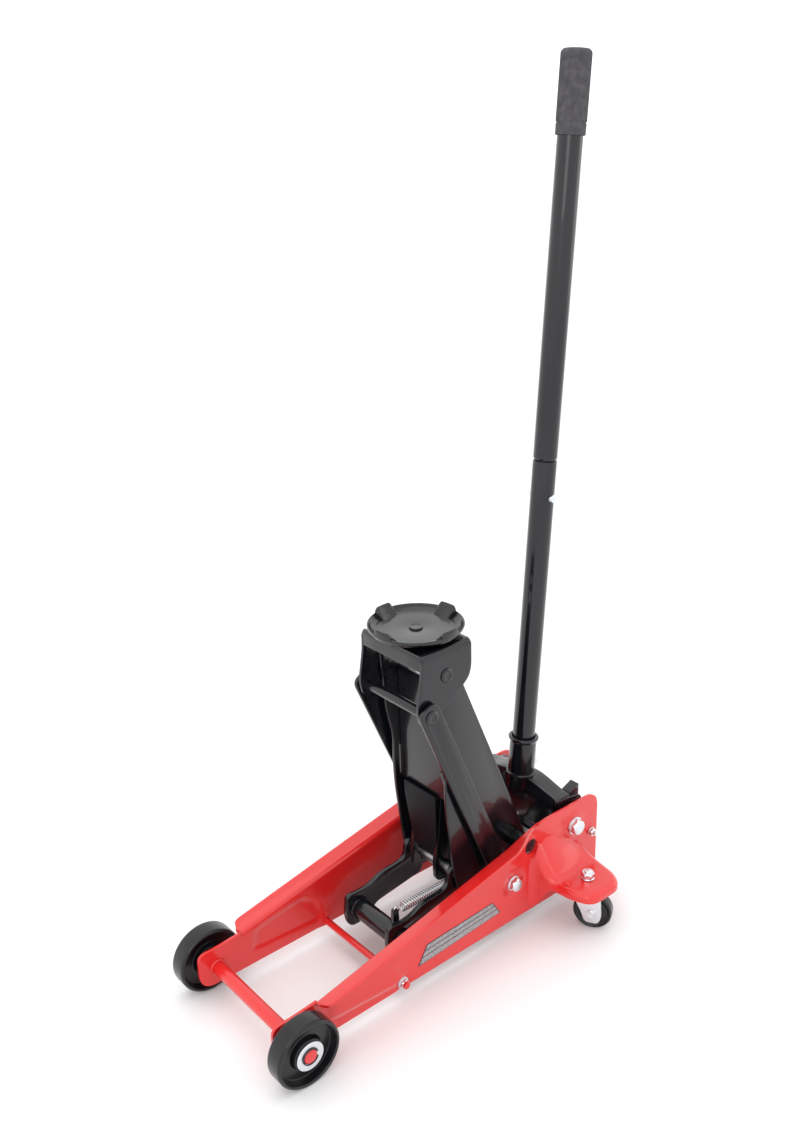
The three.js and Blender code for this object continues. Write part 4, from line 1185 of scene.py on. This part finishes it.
handle_bolt = join(
    "tube_bolt", bar("r", bolt_at, -18, 20.6, 3, ZINC),
    hexagon("h", bolt_at - bolt_face, (0, -1, 0), 10, 4.6, ZINC, dome=0.7),
    hexagon("n", bolt_at + bolt_face, ACROSS, 10, 3.8, ZINC, bore=3),
    sharp=28)
fit(handle_bolt, "handle", "zinc_plate", "handle_bolt")


def ribs(angle, height):
    """Fine ribs along the grip, left off at the smooth band at its foot and at its top."""
    if height < GRIP_LOW + 15 or height > GRIP_TOP - 4:
        return 0
    return 0.32 * cos(48 * angle)


grip_profile = [
    (0, GRIP_TOP - 5), (16.3, GRIP_TOP - 5), (16.3, GRIP_LOW), (GRIP_R - 0.6, GRIP_LOW),
    (GRIP_R - 0.4, GRIP_LOW + 13), (GRIP_R - 1.1, GRIP_LOW + 14), (GRIP_R - 0.9, GRIP_LOW + 15.2),
    (GRIP_R - 0.4, GRIP_LOW + 16), (GRIP_R - 0.4, GRIP_TOP - 5), (GRIP_R - 1.0, GRIP_TOP - 2.5),
    (GRIP_R - 3.5, GRIP_TOP - 0.2), (7, GRIP_TOP), (0, GRIP_TOP - 0.8),
]
grip = lathe("ribbed_grip", grip_profile, HANDLE_FOOT, HANDLE_AXIS, FOAM, 384, 0.5, ribs, 50)
fit(grip, "handle", "grip_foam", "handle_grip")

# ---------- floor, light and camera ----------
bm = bmesh.new()
bmesh.ops.create_grid(bm, x_segments=8, y_segments=8, size=14000)
floor = new_piece("floor", bm, floor_finish())

world = bpy.data.worlds.new("studio")
scene = bpy.context.scene
scene.world = world
world.use_nodes = True
backdrop = world.node_tree.nodes["Background"].inputs
backdrop["Color"].default_value = (1.0, 1.0, 1.0, 1)
backdrop["Strength"].default_value = 1.3


def softbox(name, place, target, width, height, power):
    """A rectangular lamp, in metres and watts."""
    light = bpy.data.lights.new(name, "AREA")
    light.shape = "RECTANGLE"
    light.size, light.size_y = width, height
    light.energy = power
    lamp = new_object(name, light)
    lamp.location = place
    lamp.rotation_euler = (Vector(target) - Vector(place)).to_track_quat("-Z", "Y").to_euler()


softbox("top light", (-0.3, 0.4, 3.0), (0, 0, 0.2), 2.0, 2.0, 8)
softbox("key light", (-2.2, -1.6, 2.2), (0, 0, 0.35), 1.4, 1.8, 14)
softbox("side light", (2.6, -1.2, 1.4), (0, 0, 0.4), 1.0, 2.0, 5)

CAMERA_PLACE = Vector((-567.712, -1002.176, 1064.746))
YAW, PITCH, ROLL = radians(-39.457), radians(21.512), radians(-1.691)
LENS = 36.60
back = Vector((sin(YAW) * cos(PITCH), -cos(YAW) * cos(PITCH), sin(PITCH)))
right = (-back).cross(UP).normalized()
up = back.cross(right)
right, up = right * cos(ROLL) + up * sin(ROLL), up * cos(ROLL) - right * sin(ROLL)
lens = bpy.data.cameras.new("camera")
lens.lens = LENS
lens.sensor_width = 36
camera = new_object("camera", lens)
turn = Matrix((right, up, back)).transposed().to_4x4()
camera.matrix_world = Matrix.Translation(CAMERA_PLACE * MM + DATUM) @ turn
scene.camera = camera
scene.view_settings.view_transform = "Standard"
